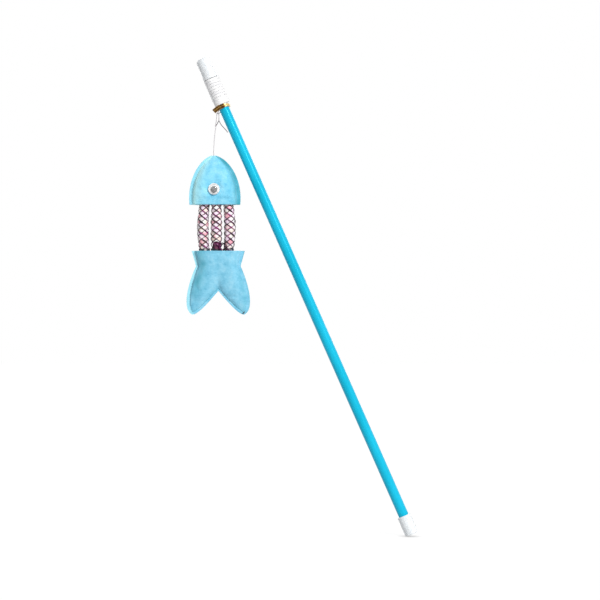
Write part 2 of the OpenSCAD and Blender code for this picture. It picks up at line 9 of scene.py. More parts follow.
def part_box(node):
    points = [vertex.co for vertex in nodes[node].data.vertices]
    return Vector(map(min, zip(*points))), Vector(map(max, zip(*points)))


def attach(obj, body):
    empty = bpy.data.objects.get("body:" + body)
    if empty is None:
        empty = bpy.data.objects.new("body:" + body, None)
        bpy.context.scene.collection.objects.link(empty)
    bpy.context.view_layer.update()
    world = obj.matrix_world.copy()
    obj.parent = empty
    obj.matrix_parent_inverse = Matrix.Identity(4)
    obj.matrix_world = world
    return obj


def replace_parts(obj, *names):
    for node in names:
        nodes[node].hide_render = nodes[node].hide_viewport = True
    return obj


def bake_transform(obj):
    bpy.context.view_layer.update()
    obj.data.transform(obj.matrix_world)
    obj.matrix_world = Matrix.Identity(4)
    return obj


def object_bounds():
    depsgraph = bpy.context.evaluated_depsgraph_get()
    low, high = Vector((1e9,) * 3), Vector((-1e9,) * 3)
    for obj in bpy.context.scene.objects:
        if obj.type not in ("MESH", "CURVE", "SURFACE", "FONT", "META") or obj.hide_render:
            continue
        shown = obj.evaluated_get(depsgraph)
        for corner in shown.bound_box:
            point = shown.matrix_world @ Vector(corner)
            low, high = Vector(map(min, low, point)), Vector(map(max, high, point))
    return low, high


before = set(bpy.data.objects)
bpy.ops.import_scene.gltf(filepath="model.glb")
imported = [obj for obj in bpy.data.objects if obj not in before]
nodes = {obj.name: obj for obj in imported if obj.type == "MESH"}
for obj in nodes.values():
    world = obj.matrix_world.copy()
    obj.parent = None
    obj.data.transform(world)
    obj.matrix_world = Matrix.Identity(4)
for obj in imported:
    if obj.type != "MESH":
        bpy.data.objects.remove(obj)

# Cat teaser wand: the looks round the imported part. All lengths are in metres, in the
# part's own frame: the origin is the grip point, +Z is up and -Y is the front.
cad_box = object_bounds()
TURN = 2 * math.pi
MM = 0.001
scene = bpy.context.scene
scene.view_settings.view_transform = "Standard"


def add_object(name, data):
    made = bpy.data.objects.new(name, data)
    scene.collection.objects.link(made)
    return made


def add_mesh(name, points, faces, mat=None):
    """A mesh object. Its quads are smooth, and the many-sided ends of strands are flat."""
    mesh = bpy.data.meshes.new(name)
    mesh.from_pydata(points, [], faces)
    mesh.polygons.foreach_set("use_smooth", [len(face) == 4 for face in faces])
    if mat:
        mesh.materials.append(mat)
    return add_object(name, mesh)


def add_node(tree, kind, inputs=None, **settings):
    """A shader node; its inputs are values or other nodes' outputs, by name or place."""
    node = tree.nodes.new("ShaderNode" + kind)
    for key, value in settings.items():
        setattr(node, key, value)
    for key, value in (inputs or {}).items():
        if isinstance(value, bpy.types.NodeSocket):
            tree.links.new(value, node.inputs[key])
        else:
            node.inputs[key].default_value = value
    return node


# Camera, light and floor
IMAGE_W = 600
PIXEL = 0.00077
CAMERA_AT = (-0.0558, -1.5, 0.1114)
SENSOR_MM = 36
WORLD_LIGHT = 0.32
PURE_WHITE = (1, 1, 1, 1)
FLOOR_HALF = 4
FLOOR_GAP = 0.0001
FLOOR_DIFFUSE = (0.1, 0.1, 0.1, 1)
FLOOR_OTHER = (0.8, 0.8, 0.8, 1)
FLOOR_GLOW = 0.93
SHADOW_REACH = 0.007
SHADOW_SHARE = 0.5


def add_camera():
    """Looks along +Y; a pixel of the photograph is PIXEL wide at the wand."""
    data = bpy.data.cameras.new("camera")
    data.sensor_width = SENSOR_MM
    data.lens = SENSOR_MM * -CAMERA_AT[1] / (IMAGE_W * PIXEL)
    camera = add_object("camera", data)
    camera.location = CAMERA_AT
    camera.rotation_euler = (math.pi / 2, 0, 0)
    scene.camera = camera


def add_sun(name, strength, towards, spread_deg, colour=(1, 1, 1)):
    """A soft lamp whose light travels in the direction towards."""
    data = bpy.data.lights.new(name, "SUN")
    data.energy = strength
    data.angle = math.radians(spread_deg)
    data.color = colour
    lamp = add_object(name, data)
    lamp.rotation_euler = Vector(towards).to_track_quat("-Z", "Y").to_euler()


def empty_tree(owner):
    owner.use_nodes = True
    owner.node_tree.nodes.clear()
    return owner.node_tree


def seen_rays(tree):
    """1 for the rays that show the background: from the camera, or off metal or glass."""
    path = add_node(tree, "LightPath")
    total = path.outputs["Is Camera Ray"]
    for kind in ("Is Glossy Ray", "Is Transmission Ray"):
        total = add_node(tree, "Math", {0: total, 1: path.outputs[kind]},
                         operation="MAXIMUM").outputs[0]
    return total


def add_world():
    """A weak even light, which is plain white where it is seen."""
    world = bpy.data.worlds.new("studio")
    tree = empty_tree(world)
    light, seen = (add_node(tree, "Background", {"Color": PURE_WHITE, "Strength": strength})
                   for strength in (WORLD_LIGHT, 1))
    mix = add_node(tree, "MixShader", {0: seen_rays(tree), 1: light.outputs[0],
                                       2: seen.outputs[0]})
    add_node(tree, "OutputWorld", {0: mix.outputs[0]})
    scene.world = world


def add_floor():
    """A white floor: where the camera sees it, it glows, and still keeps the shadow."""
    mat = bpy.data.materials.new("white_floor")
    tree = empty_tree(mat)
    other, seen = (add_node(tree, "BsdfDiffuse", {"Color": colour}).outputs[0]
                   for colour in (FLOOR_OTHER, FLOOR_DIFFUSE))
    # Painted contact shadow: near the object the glow is darkened by ambient occlusion; the weak
    # diffuse part keeps the lamps' real shadow
    near = add_node(tree, "AmbientOcclusion", {"Distance": SHADOW_REACH}).outputs["Color"]
    for share, colour in ((1 - SHADOW_SHARE, PURE_WHITE), (SHADOW_SHARE, near)):
        glow = add_node(tree, "Emission", {"Color": colour, "Strength": FLOOR_GLOW * share})
        seen = add_node(tree, "AddShader", {0: seen, 1: glow.outputs[0]}).outputs[0]
    mix = add_node(tree, "MixShader", {0: seen_rays(tree), 1: other, 2: seen})
    add_node(tree, "OutputMaterial", {0: mix.outputs[0]})
    h, z = FLOOR_HALF, cad_box[0][2] - FLOOR_GAP
    corners = [(-h, -h, z), (h, -h, z), (h, h, z), (-h, h, z)]
    add_mesh("floor", corners, [(0, 1, 2, 3)], mat)


add_camera()
add_world()
add_sun("key", 3.0, (-0.45, 0.72, -0.5), 24, (1, 0.995, 0.98))
add_sun("fill", 0.06, (0.7, 0.6, -0.35), 60, (0.97, 0.985, 1))
add_sun("back", 1.4, (0.1, -0.9, -0.4), 60)
add_floor()

# Materials: the depths of their bumps, the range that most noise values lie in, and the
# Mix node's places of its two colours and of its result
SKIN_BUMP = 0.0001
NAP_BUMP = 0.00022
TWIST_BUMP = 0.00008
CREASE_BUMP = 0.0002
FILM_BUMP = 0.00005
SPECK_BUMP = 0.0002
NOISE_LOW, NOISE_HIGH = 0.3, 0.7
MIX_A, MIX_B, MIX_RESULT = 6, 7, 2
# Colours of the painted shade and the painted light on the felt
FELT_SHADE = (0.05, 0.34, 0.43)
FELT_LIGHT = (0.52, 0.96, 1)


def shader(name, **sockets):
    """A material with one Principled shader; sockets sets constants on it."""
    mat = bpy.data.materials.new(name)
    mat.use_nodes = True
    bsdf = mat.node_tree.nodes["Principled BSDF"]
    for key, value in sockets.items():
        bsdf.inputs[key.replace("_", " ")].default_value = value
    return mat, mat.node_tree, bsdf


def link(bsdf, **outputs):
    """Feeds other nodes' outputs into a Principled shader."""
    for key, value in outputs.items():
        bsdf.id_data.links.new(value, bsdf.inputs[key.replace("_", " ")])


def coordinates(tree, kind):
    return add_node(tree, "TexCoord").outputs[kind]


def noise_of(tree, scale, detail=3, rough=0.6, stretch=(1, 1, 1), kind="Object"):
    """A noise texture's value; scale counts its lumps to a metre, or to a unit of UV."""
    place = add_node(tree, "Mapping", {"Vector": coordinates(tree, kind), "Scale": stretch})
    return add_node(tree, "TexNoise", {"Vector": place.outputs[0], "Scale": scale,
                                       "Detail": detail, "Roughness": rough}).outputs[0]


def ramp(value, stops):
    """Colours at places from 0 to 1 of a value."""
    node = add_node(value.id_data, "ValToRGB", {0: value})
    elements = node.color_ramp.elements
    while len(elements) < len(stops):
        elements.new(0.5)
    for element, (place, colour) in zip(elements, stops):
        element.position = place
        element.color = (*colour, 1)
    return node.outputs[0]


def mixed(tree, factor, a, b, blend="MIX"):
    """Colour a turning to b by a factor; a and b are colours or outputs."""
    a, b = ((*colour, 1) if isinstance(colour, tuple) else colour for colour in (a, b))
    node = add_node(tree, "Mix", {0: factor, MIX_A: a, MIX_B: b}, data_type="RGBA",
                    blend_type=blend)
    return node.outputs[MIX_RESULT]


def attribute(tree, name):
    return add_node(tree, "Attribute", attribute_name=name).outputs["Fac"]


def add_bump(bsdf, heights, distance):
    """Bumps the surface by several height values, each with its own strength."""
    inputs = {"Distance": distance}
    for value, strength in heights:
        inputs.update({"Height": value, "Strength": strength})
        inputs["Normal"] = add_node(bsdf.id_data, "Bump", inputs).outputs[0]
    link(bsdf, Normal=inputs["Normal"])


def in_range(value, low, high):
    """A noise value spread over low to high, as for a roughness."""
    inputs = {"Value": value, "From Min": NOISE_LOW, "From Max": NOISE_HIGH, "To Min": low,
              "To Max": high}
    return add_node(value.id_data, "MapRange", inputs).outputs[0]


def plastic(name, low, high, roughness, grain=900, stretch=(1, 1, 1), bumps=(0.06, 0.03),
            **sockets):
    """Moulded plastic: slightly uneven in colour and gloss, with a fine skin."""
    mat, tree, bsdf = shader(name, **sockets)
    wide = noise_of(tree, grain / 12, stretch=stretch)
    fine = noise_of(tree, grain, detail=2, stretch=stretch)
    colour = ramp(wide, [(NOISE_LOW, low), (NOISE_HIGH, high)])
    link(bsdf, Base_Color=colour, Roughness=in_range(fine, *roughness))
    add_bump(bsdf, zip((wide, fine), bumps), SKIN_BUMP)
    return mat


def felt(name, dark, base, light):
    """Pressed felt: clouded dye, a nap of fibres, and painted shade and light along its seams."""
    mat, tree, bsdf = shader(name, Roughness=0.95, Specular_IOR_Level=0.12,
                             Sheen_Weight=0.25, Sheen_Roughness=0.6,
                             Sheen_Tint=(0.75, 0.93, 1, 1))
    cloud = noise_of(tree, scale=170, detail=4, rough=0.65)
    fibre = noise_of(tree, scale=2600, rough=0.7)
    strands = noise_of(tree, scale=1100, detail=4, rough=0.75, stretch=(0.45, 1, 1.6))
    colour = ramp(cloud, [(0.3, dark), (0.5, base), (0.7, light)])
    flecks = ramp(strands, [(0.35, (0.8, 0.86, 0.9)), (0.55, (1, 1, 1)),
                            (0.72, (1.06, 1.04, 1.02))])
    colour = mixed(tree, 0.8, colour, flecks, "MULTIPLY")
    colour = mixed(tree, attribute(tree, "shade"), colour, FELT_SHADE)
    colour = mixed(tree, attribute(tree, "seam_light"), colour, FELT_LIGHT)
    link(bsdf, Base_Color=colour)
    add_bump(bsdf, [(strands, 0.5), (fibre, 0.45)], NAP_BUMP)
    return mat


def thread(name, stops, roughness=0.6, twist=0.3, **sockets):
    """Twisted thread or yarn; its colour changes along it, its twist is in its UVs."""
    mat, tree, bsdf = shader(name, Roughness=roughness, **sockets)
    link(bsdf, Base_Color=ramp(attribute(tree, "tint"), stops))
    wave = add_node(tree, "TexWave", {"Vector": coordinates(tree, "UV"), "Scale": 3,
                                      "Distortion": 1.5}, bands_direction="DIAGONAL")
    add_bump(bsdf, [(wave.outputs["Fac"], twist)], TWIST_BUMP)
    return mat


def gold_tie():
    """Gold film over a wire, with painted reflections: gold highlights on ridge and edges, dark
    flanks.
    """
    mat, tree, bsdf = shader("gold_film", Metallic=1)
    across = add_node(tree, "SeparateXYZ", {0: coordinates(tree, "UV")}).outputs[1]
    # Painted reflections and light: the dark colour is a painted dark reflection on the flanks,
    # the light gold one is painted light
    dark_reflection, gold, lit_gold = (0.05, 0.018, 0.004), (0.5, 0.27, 0.05), (0.92, 0.68, 0.3)
    bands = ramp(across, [(0, gold), (0.07, dark_reflection), (0.4, dark_reflection), (0.48, gold),
                          (0.56, dark_reflection), (0.93, dark_reflection), (1, gold)])
    creases = noise_of(tree, scale=900, rough=0.7)
    # Gold patches over the dark flanks where the creases' noise is high
    crease_patches = ramp(creases, [(0.55, (0, 0, 0)), (0.75, (0.7, 0.7, 0.7))])
    colour = mixed(tree, crease_patches, bands, gold)
    # Painted light: the tint turns the strip light gold where it faces the lamp
    colour = mixed(tree, attribute(tree, "tint"), colour, lit_gold)
    link(bsdf, Base_Color=colour, Roughness=in_range(creases, 0.18, 0.42))
    add_bump(bsdf, [(creases, 0.6)], CREASE_BUMP)
    return mat


def film():
    """Pearly film of the nets; a tint of 0 is the dark film by the bell."""
    mat, tree, bsdf = shader("net_ribbon", Roughness=0.3, Alpha=0.85, Coat_Weight=0.3)
    stops = [(0, (0.13, 0.008, 0.06)), (0.06, (0.97, 0.96, 0.98)),
             (0.28, (0.98, 0.72, 0.93)), (0.45, (0.98, 0.93, 0.95)),
             (0.62, (0.98, 0.8, 0.7)), (0.78, (0.96, 0.97, 0.95)),
             (0.97, (0.97, 0.45, 0.55))]
    link(bsdf, Base_Color=ramp(attribute(tree, "tint"), stops))
    fine = noise_of(tree, scale=40, detail=2, kind="UV", stretch=(1, 0.1, 1))
    add_bump(bsdf, [(fine, 0.4)], FILM_BUMP)
    return mat


def speckled(name, stops, scale, roughness, bump, **sockets):
    """Colours in small patches with a bump of the same patches."""
    mat, tree, bsdf = shader(name, Roughness=roughness, **sockets)
    patches = noise_of(tree, scale, detail=4, rough=0.7)
    link(bsdf, Base_Color=ramp(patches, stops))
    add_bump(bsdf, [(patches, bump)], SPECK_BUMP)
    return mat


CYAN = plastic("cyan_plastic", (0.004, 0.39, 0.58), (0.01, 0.45, 0.67), (0.2, 0.26),
               stretch=(1, 1, 0.06), bumps=(0.02, 0.008), Specular_IOR_Level=0.5,
               Specular_Tint=(0.15, 0.85, 1, 1))
WHITE = plastic("white_plastic", (0.72, 0.75, 0.78), (0.78, 0.81, 0.84), (0.3, 0.42),
                bumps=(0.02, 0.008), Specular_IOR_Level=0.4, Subsurface_Weight=0.5,
                Subsurface_Scale=0.002, Subsurface_Radius=(1, 1, 1))
EYE_WHITE = plastic("eye_white", (0.86, 0.87, 0.88), (0.9, 0.91, 0.92), (0.12, 0.2))
NYLON = thread("nylon", [(0, (0.13, 0.115, 0.125)), (1, (0.54, 0.51, 0.53))], 0.25, twist=0.1)
HEAD_FELT = felt("blue_felt", (0.14, 0.52, 0.74), (0.23, 0.64, 0.85), (0.33, 0.72, 0.89))
TAIL_FELT = felt("tail_felt", (0.13, 0.43, 0.6), (0.21, 0.54, 0.72), (0.3, 0.62, 0.78))
CORD = thread("white_cord", [(0, (0.76, 0.76, 0.78)), (1, (0.85, 0.85, 0.86))], 0.7)
STRAND = thread("net_strand", [(0, (0.008, 0.003, 0.01)), (0.3, (0.035, 0.003, 0.028)),
                               (0.5, (0.26, 0.02, 0.17)), (0.66, (0.02, 0.02, 0.022)),
                               (1, (0.16, 0.1, 0.085))], 0.55, Specular_IOR_Level=0.25)
DARK_THREAD = thread("dark_thread", [(0, (0.016, 0.028, 0.036)), (1, (0.085, 0.14, 0.17))])
BLUE_THREAD = thread("blue_thread", [(0, (0.1, 0.42, 0.66)), (1, (0.3, 0.68, 0.85))])
FILM = film()
GOLD = gold_tie()
TAPE = plastic("white_tape", (0.8, 0.81, 0.83), (0.86, 0.87, 0.89), (0.5, 0.65),
               Specular_IOR_Level=0.3)
FILLING = speckled("filling", [(0.3, (0.76, 0.76, 0.75)), (0.7, (0.86, 0.86, 0.85))],
                   scale=900, roughness=0.95, bump=0.8, Sheen_Weight=0.3)
PUPIL = speckled("pupil_black", [(0.35, (0.006, 0.006, 0.007)), (0.6, (0.04, 0.038, 0.042))],
                 scale=1100, roughness=0.25, bump=0.3)
ENAMEL = speckled("magenta_enamel", [(0.35, (0.04, 0.003, 0.022)), (0.55, (0.13, 0.012, 0.07)),
                                     (0.72, (0.34, 0.07, 0.2))],
                  scale=700, roughness=0.25, bump=0.4, Metallic=0.35, Coat_Weight=0.5)
STEEL = speckled("pellet_steel", [(0.3, (0.4, 0.4, 0.42)), (0.7, (0.56, 0.56, 0.58))],
                 scale=800, roughness=0.3, bump=0.2, Metallic=1)
EYE_CLEAR = plastic("eye_clear", (0.96, 0.98, 1), (0.99, 1, 1), (0.02, 0.05), Alpha=0.12,
                    Specular_IOR_Level=1, Coat_Weight=1)

# The CAD nodes that stay as they are, and their materials
CAD_LOOKS = {"tube": CYAN, "bottom_cap": WHITE, "top_cap": WHITE, "neck_sleeve": TAPE,
             "eye_cup_front": EYE_WHITE, "eye_cup_back": EYE_WHITE,
             "eye_dome_front": EYE_CLEAR, "eye_dome_back": EYE_CLEAR,
             "pupil_front": PUPIL, "pupil_back": PUPIL, "bell_shell": ENAMEL,
             "bell_pellet": STEEL}
for node, mat in CAD_LOOKS.items():
    nodes[node].data.materials.clear()
    nodes[node].data.materials.append(mat)


# Mesh helpers
def unit(v):
    return v / np.linalg.norm(v, axis=-1, keepdims=True)


def tangents(line):
    return unit(np.gradient(line, axis=0))


def transported(line, first):
    """Normals that turn as little as they can along a line."""
    normals = [np.array(first)]
    for t in tangents(line):
        normals.append(unit(normals[-1] - (normals[-1] @ t) * t))
    return np.array(normals[1:])


def smooth_line(points, per=4):
    """A smooth line through the points, with per steps between two of them."""
    p = np.array(points)
    q = np.vstack([2 * p[0] - p[1], p, 2 * p[-1] - p[-2]])
    out = []
    for k in range(1, len(q) - 2):
        for s in range(per):
            t = s / per
            out.append(0.5 * (2 * q[k] + (q[k + 1] - q[k - 1]) * t
                              + (2 * q[k - 1] - 5 * q[k] + 4 * q[k + 1] - q[k + 2]) * t**2
                              + (3 * q[k] - q[k - 1] - 3 * q[k + 1] + q[k + 2]) * t**3))
    out.append(p[-1])
    return np.array(out)


def round_z(a, r=1, z=0):
    """Places round the Z axis, by their angles, radii and heights."""
    return np.stack([r * np.cos(a), r * np.sin(a), z + 0 * a], -1)


def oval(width, height, sides=8):
    """Section of a strand: across and out from its line."""
    return round_z(np.arange(sides) * TURN / sides)[:, :2] * (width / 2, height / 2)


def rise(value, start, width):
    """0 up to start, and from there evenly up to 1 over the width."""
    return min(1, max(0, (value - start) / width))


def bell_curve(value, middle, width):
    return np.exp(-(((value - middle) / width) ** 2))


def grid_quads(rows, cols):
    """The faces of a grid of points, and the points round its border."""
    index = np.arange(rows * cols).reshape(rows, cols)
    quads = np.stack([index[:-1, :-1], index[1:, :-1], index[1:, 1:], index[:-1, 1:]], -1)
    border = [index[0], index[1:, -1], index[-1, -2::-1], index[-2:0:-1, 0]]
    return quads.reshape(-1, 4), np.concatenate(border)


def skin_faces(rows, cols, turned=False):
    """The faces of two grids of points, one behind the other, closed round their border."""
    front, border = grid_quads(rows, cols)
    back = front[:, [0, 3, 2, 1]]
    if turned:
        front, back = back, front
    count = rows * cols
    after = np.roll(border, -1)
    rim = np.stack([border, after, after + count, border + count], -1)
    if turned:
        rim = rim[:, ::-1]
    return np.concatenate([front, back + count, rim]).tolist()


def keep_values(mesh, name, values):
    """Keeps a value for each point of the mesh, which its material reads by the name."""
    mesh.attributes.new(name, "FLOAT", "POINT").data.foreach_set("value", values)


class Shape:
    """Collects vertices, faces, UVs and one tint for each vertex."""

    def __init__(self):
        self.points, self.faces, self.tints, self.uvs = [], [], [], []
        self.count = 0

    def add(self, points, faces, tints, uvs):
        self.faces += [[self.count + i for i in face] for face in faces]
        self.points.append(points)
        self.tints.append(tints)
        self.uvs.append(uvs)
        self.count += len(points)

    def sweep(self, line, normals, section, scale=1, tint=0.5):
        """Adds a section carried along a line, its out side along one or more normals."""
        t = tangents(line)
        n = unit(normals - (normals * t).sum(1, keepdims=True) * t)
        side = np.cross(t, n)
        k, m = len(line), len(section)
        grow = np.broadcast_to(scale, k)[:, None, None]
        ring = line[:, None] + grow * (section[None, :, :1] * side[:, None]
                                       + section[None, :, 1:] * n[:, None])
        i, j = np.meshgrid(np.arange(k - 1), np.arange(m), indexing="ij")
        a, b = i * m + j, i * m + (j + 1) % m
        quads = np.stack([a, b, b + m, a + m], -1).reshape(-1, 4).tolist()
        ends = [range(m - 1, -1, -1), range((k - 1) * m, k * m)]
        steps = np.linalg.norm(np.diff(line, axis=0), axis=1)
        along = np.concatenate([[0], np.cumsum(steps)]) / np.ptp(section[:, 0])
        uvs = np.stack([np.repeat(along, m), np.tile(np.arange(m) / m, k)], 1)
        tints = np.repeat(np.broadcast_to(tint, k), m)
        self.add(ring.reshape(-1, 3), quads + ends, tints, uvs)

    def strand(self, line, normal, width, height, sides=8, tint=0.5):
        """Adds a strand of oval section; normal is its out side where it starts."""
        self.sweep(line, transported(line, normal), oval(width, height, sides), tint=tint)

    def make(self, name, mat, body, slot):
        """Makes the object, which rides on the body, or on none yet."""
        piece = add_mesh(name, np.concatenate(self.points).tolist(), self.faces, mat)
        mesh = piece.data
        keep_values(mesh, "tint", np.concatenate(self.tints))
        corner = np.empty(len(mesh.loops), np.int32)
        mesh.loops.foreach_get("vertex_index", corner)
        uvs = np.concatenate(self.uvs)[corner].ravel()
        mesh.uv_layers.new(name="UVMap").data.foreach_set("uv", uvs)
        if body:
            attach(piece, body)
        return piece


# The nylon line, from the tie to the fish. Its places are millimetres from its exit
LINE_D = 0.0006
LINE_EXIT = np.array([-0.119064, 0, 0.254713])
KNOT = LINE_EXIT + [-0.0015, 0, -0.009]
HOOK_R = 0.00075
LOOP_LEFT = [
    (-0.75, 0, 0), (-0.8, 0, -1.4), (-0.9, 0, -2.8), (-1.05, 0, -4.2), (-1.25, 0, -5.5),
    (-1.45, 0, -6.9), (-1.6, 0, -8.1)
]
LOOP_RIGHT = [
    (0.8, 0, -1.4), (0.85, 0, -2.8), (0.85, 0, -4.2), (0.65, 0, -5.4), (0.2, 0, -6.4),
    (-0.4, 0, -7.3), (-0.85, 0, -8.1), (-1.3, 0, -8.7)
]
LINE_TAIL = [
    (-1.2, -0.4, -8.9), (-0.8, -0.75, -8.4), (-0.2, -0.9, -7.2), (0.4, -1, -6.1),
    (0.9, -1.1, -5.5), (1.4, -1.5, -6.2), (2.1, -2.1, -7.6), (3, -2.7, -9), (4, -3.3, -10.2),
    (5, -3.9, -11.3), (6, -4.4, -12.4), (7, -4.8, -13.6), (7.8, -5.1, -14.7)
]
LINE_DOWN = [
    (-1.6, 0, -9), (-1.75, 0, -10.4), (-1.9, 0, -12), (-2.1, 0, -13.6), (-2.3, 0, -15.2),
    (-2.45, 0, -16.8), (-2.6, 0, -18.4), (-2.75, 0, -20), (-2.85, 0, -21.6), (-2.95, 0, -23.2),
    (-3.05, 0, -24.8), (-3.1, 0, -26.4), (-3.15, 0, -28), (-3.2, 0, -29.6), (-3.2, 0, -31),
    (-3.2, 0, -32.5), (-3.2, 0, -34), (-3.2, 0, -35.6)
]
KNOT_R = 0.00045
KNOT_H = 0.0011
KNOT_TURNS = 2.6
KNOT_END_R_SHARE = 0.45
KNOT_END_SHARE = 0.125
END_KNOT_R = 0.0005
END_KNOT_H = 0.0008
END_KNOT_DROP = 0.0003


def line_piece(name, line, body, normal=(0, -1, 0), tint=1):
    shape = Shape()
    shape.strand(line, normal, LINE_D, LINE_D, 12, tint)
    return shape.make(name, NYLON, body, "nylon")


def hang_line():
    """The loop, its knot and cut end, the line down into the head, and its knot there."""
    angles = np.linspace(math.pi, 0, 13)
    hook = round_z(angles, HOOK_R)[:, [0, 2, 1]]
    bight = line_piece("line_bight", LINE_EXIT + np.vstack([hook, MM * smooth_line(LOOP_RIGHT)]),
                       "loop", tint=0.85)
    cut_end = line_piece("line_cut_end", LINE_EXIT + MM * smooth_line(LINE_TAIL), "loop", tint=0.1)
    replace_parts(cut_end, "line_tail")

    t = np.linspace(0, 1, 61)
    a = t * KNOT_TURNS * TURN
    full = np.minimum(1, np.minimum(t, 1 - t) / KNOT_END_SHARE)
    r = KNOT_R * (KNOT_END_R_SHARE + (1 - KNOT_END_R_SHARE) * full)
    knot = line_piece("line_knot", KNOT + round_z(a, r, KNOT_H * (0.5 - t)), "loop",
                      normal=(1, 0, 0))
    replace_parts(knot, "loop_knot")
    coil = round_z(a, END_KNOT_R, -END_KNOT_DROP - END_KNOT_H * t)
    end_knot = line_piece("line_end_knot", LINE_EXIT + MM * np.array(LINE_DOWN[-1]) + coil,
                          "line", normal=(1, 0, 0))
    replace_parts(end_knot, "end_knot")

    route = LINE_EXIT + MM * smooth_line(LOOP_LEFT + LINE_DOWN, 2)
    line = line_piece("line", route, None)
    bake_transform(line)
    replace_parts(line, "line_loop", "hang_line")


hang_line()

# The wand's winding, tie and line turns, in the wand's own frame with Z up its axis
WAND_LEAN = math.radians(23.8)
TUBE_R = 0.004
SNUG = 0.00005
CAP_RIM = 0.308
NECK_END = 0.2863
SLEEVE_T = 0.0004
NECK_IN_R = TUBE_R + 2 * SNUG + SLEEVE_T
WRAP_D = 0.0017
WRAP_TURNS = 9
WRAP_ROUND_TURNS = 8.15
WRAP_PITCH = (CAP_RIM - NECK_END - WRAP_D - 2 * SNUG) / WRAP_TURNS
WRAP_TOUCH_SHARE = 1.02
WRAP_STEPS = 40
WRAP_R = NECK_IN_R + WRAP_D / 2
STEP_SHARE = 0.3
RIM_GAP = 0.00055
WRAP_TOP = CAP_RIM - RIM_GAP - WRAP_D / 2
RIPPLES = (0.00003, 0.00002)
BAND_FROM_TURN = 7.3
BAND_TOP = WRAP_TOP - WRAP_PITCH * BAND_FROM_TURN
BAND_FOOT = NECK_END + SNUG
BAND_T = 0.0014
BAND_SLANT = 0.0004
BAND_PROFILE_SHARES = [(0, 0.55), (0.02, 0.86), (0.08, 0.97), (0.3, 1), (0.55, 0.985),
                       (0.8, 1), (0.95, 0.96), (1, 0.85)]
BAND_STEPS = 72
BAND_GRAIN = (0.25, 8)


def in_wand(points):
    """From the wand's own frame to the part's frame."""
    x, y, z = np.moveaxis(np.array(points), -1, 0)
    c, s = math.cos(WAND_LEAN), math.sin(WAND_LEAN)
    return np.stack([x * c - z * s, y, x * s + z * c], -1)


def neck():
    """White cord in touching turns, each of them level but for a step at the back."""
    turn = np.arange(0, WRAP_TURNS * WRAP_STEPS + 1) / WRAP_STEPS
    turn = turn[turn < WRAP_ROUND_TURNS]
    a = turn * TURN
    part = np.clip((turn % 1) / STEP_SHARE, 0, 1)
    level = np.floor(turn) - 1 + part * part * (3 - 2 * part)
    wobble = RIPPLES[0] * np.sin(2.3 * a) + RIPPLES[1] * np.sin(5.1 * a)
    z = WRAP_TOP - WRAP_PITCH * np.maximum(level, 0) + wobble
    shape = Shape()
    shape.sweep(in_wand(round_z(a, WRAP_R, z)), in_wand(round_z(a)),
                oval(WRAP_PITCH * WRAP_TOUCH_SHARE, WRAP_D, 16),
                tint=0.5 + 0.4 * np.sin(1.7 * a))
    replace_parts(shape.make("neck_cord", CORD, "wand", "white_cord"), "neck_winding")


def band():
    """The smooth band that closes the winding above the tie."""
    a = np.arange(BAND_STEPS) * TURN / BAND_STEPS
    rows = []
    for down, out in BAND_PROFILE_SHARES:
        ripple = RIPPLES[0] * np.sin(3 * a + 9 * down) + RIPPLES[1] * np.sin(7 * a)
        z = BAND_TOP + (BAND_FOOT - BAND_TOP) * down + BAND_SLANT * np.cos(a) * (1 - down)
        rows.append(round_z(a, NECK_IN_R + BAND_T * out + ripple, z))
    rows += [round_z(a, NECK_IN_R, z) for z in (BAND_FOOT, BAND_TOP)]
    k, m = len(rows), BAND_STEPS
    index = np.arange(k * m).reshape(k, m)
    below = np.roll(index, -1, 0)
    quads = np.stack([index, below, np.roll(below, -1, 1), np.roll(index, -1, 1)], -1)
    uvs = np.stack([np.repeat(np.arange(k) * BAND_GRAIN[0], m),
                    np.tile(np.arange(m) / m * BAND_GRAIN[1], k)], 1)
    shape = Shape()
    shape.add(in_wand(rows).reshape(-1, 3), quads.reshape(-1, 4).tolist(),
              np.full(k * m, 0.7), uvs)
    shape.make("neck_band", CORD, "wand", "white_cord")


neck()
band()

# The gold tie. Its height is a share of its width at each quarter turn from the front
TIE_W = 0.0036
TIE_T = 0.00035
TIE_RIDGE_H = 0.00035
TIE_INNER_RIDGE_SHARE = 0.4
TIE_DROP = 0.0011
TIE_MID = NECK_END - TIE_DROP - TIE_W / 2
TIE_PLAY = 0.00012
TIE_R = TUBE_R + SNUG + LINE_D + TIE_PLAY + TIE_T / 2
TIE_END = 0.0083
TIE_STOP = math.radians(300)
TIE_END_STEPS = 24
TIE_ROUND_STEPS = 90
TIE_HEIGHT_SHARES = [0.42, 0.08, 0.03, 0.3]
TIE_PROFILE_SHARES = [(-1, 0), (-0.85, 0.1), (-0.5, 0), (-0.28, 0.02), (-0.14, 0.7), (0, 1),
                      (0.14, 0.7), (0.28, 0.02), (0.5, 0), (0.85, 0.1), (1, 0)]
TIE_PINCH_SHARE = 0.42
TIE_PINCH_FROM, TIE_PINCH_OVER = 0.08, 0.3
TIE_CREASES = 700
TIE_CREASE_H = 0.00012


def tie_height(a):
    place = a / (TURN / 4)
    i = int(place)
    low, high = TIE_HEIGHT_SHARES[i], TIE_HEIGHT_SHARES[(i + 1) % 4]
    return low + (high - low) * (1 - math.cos(math.pi * (place - i))) / 2


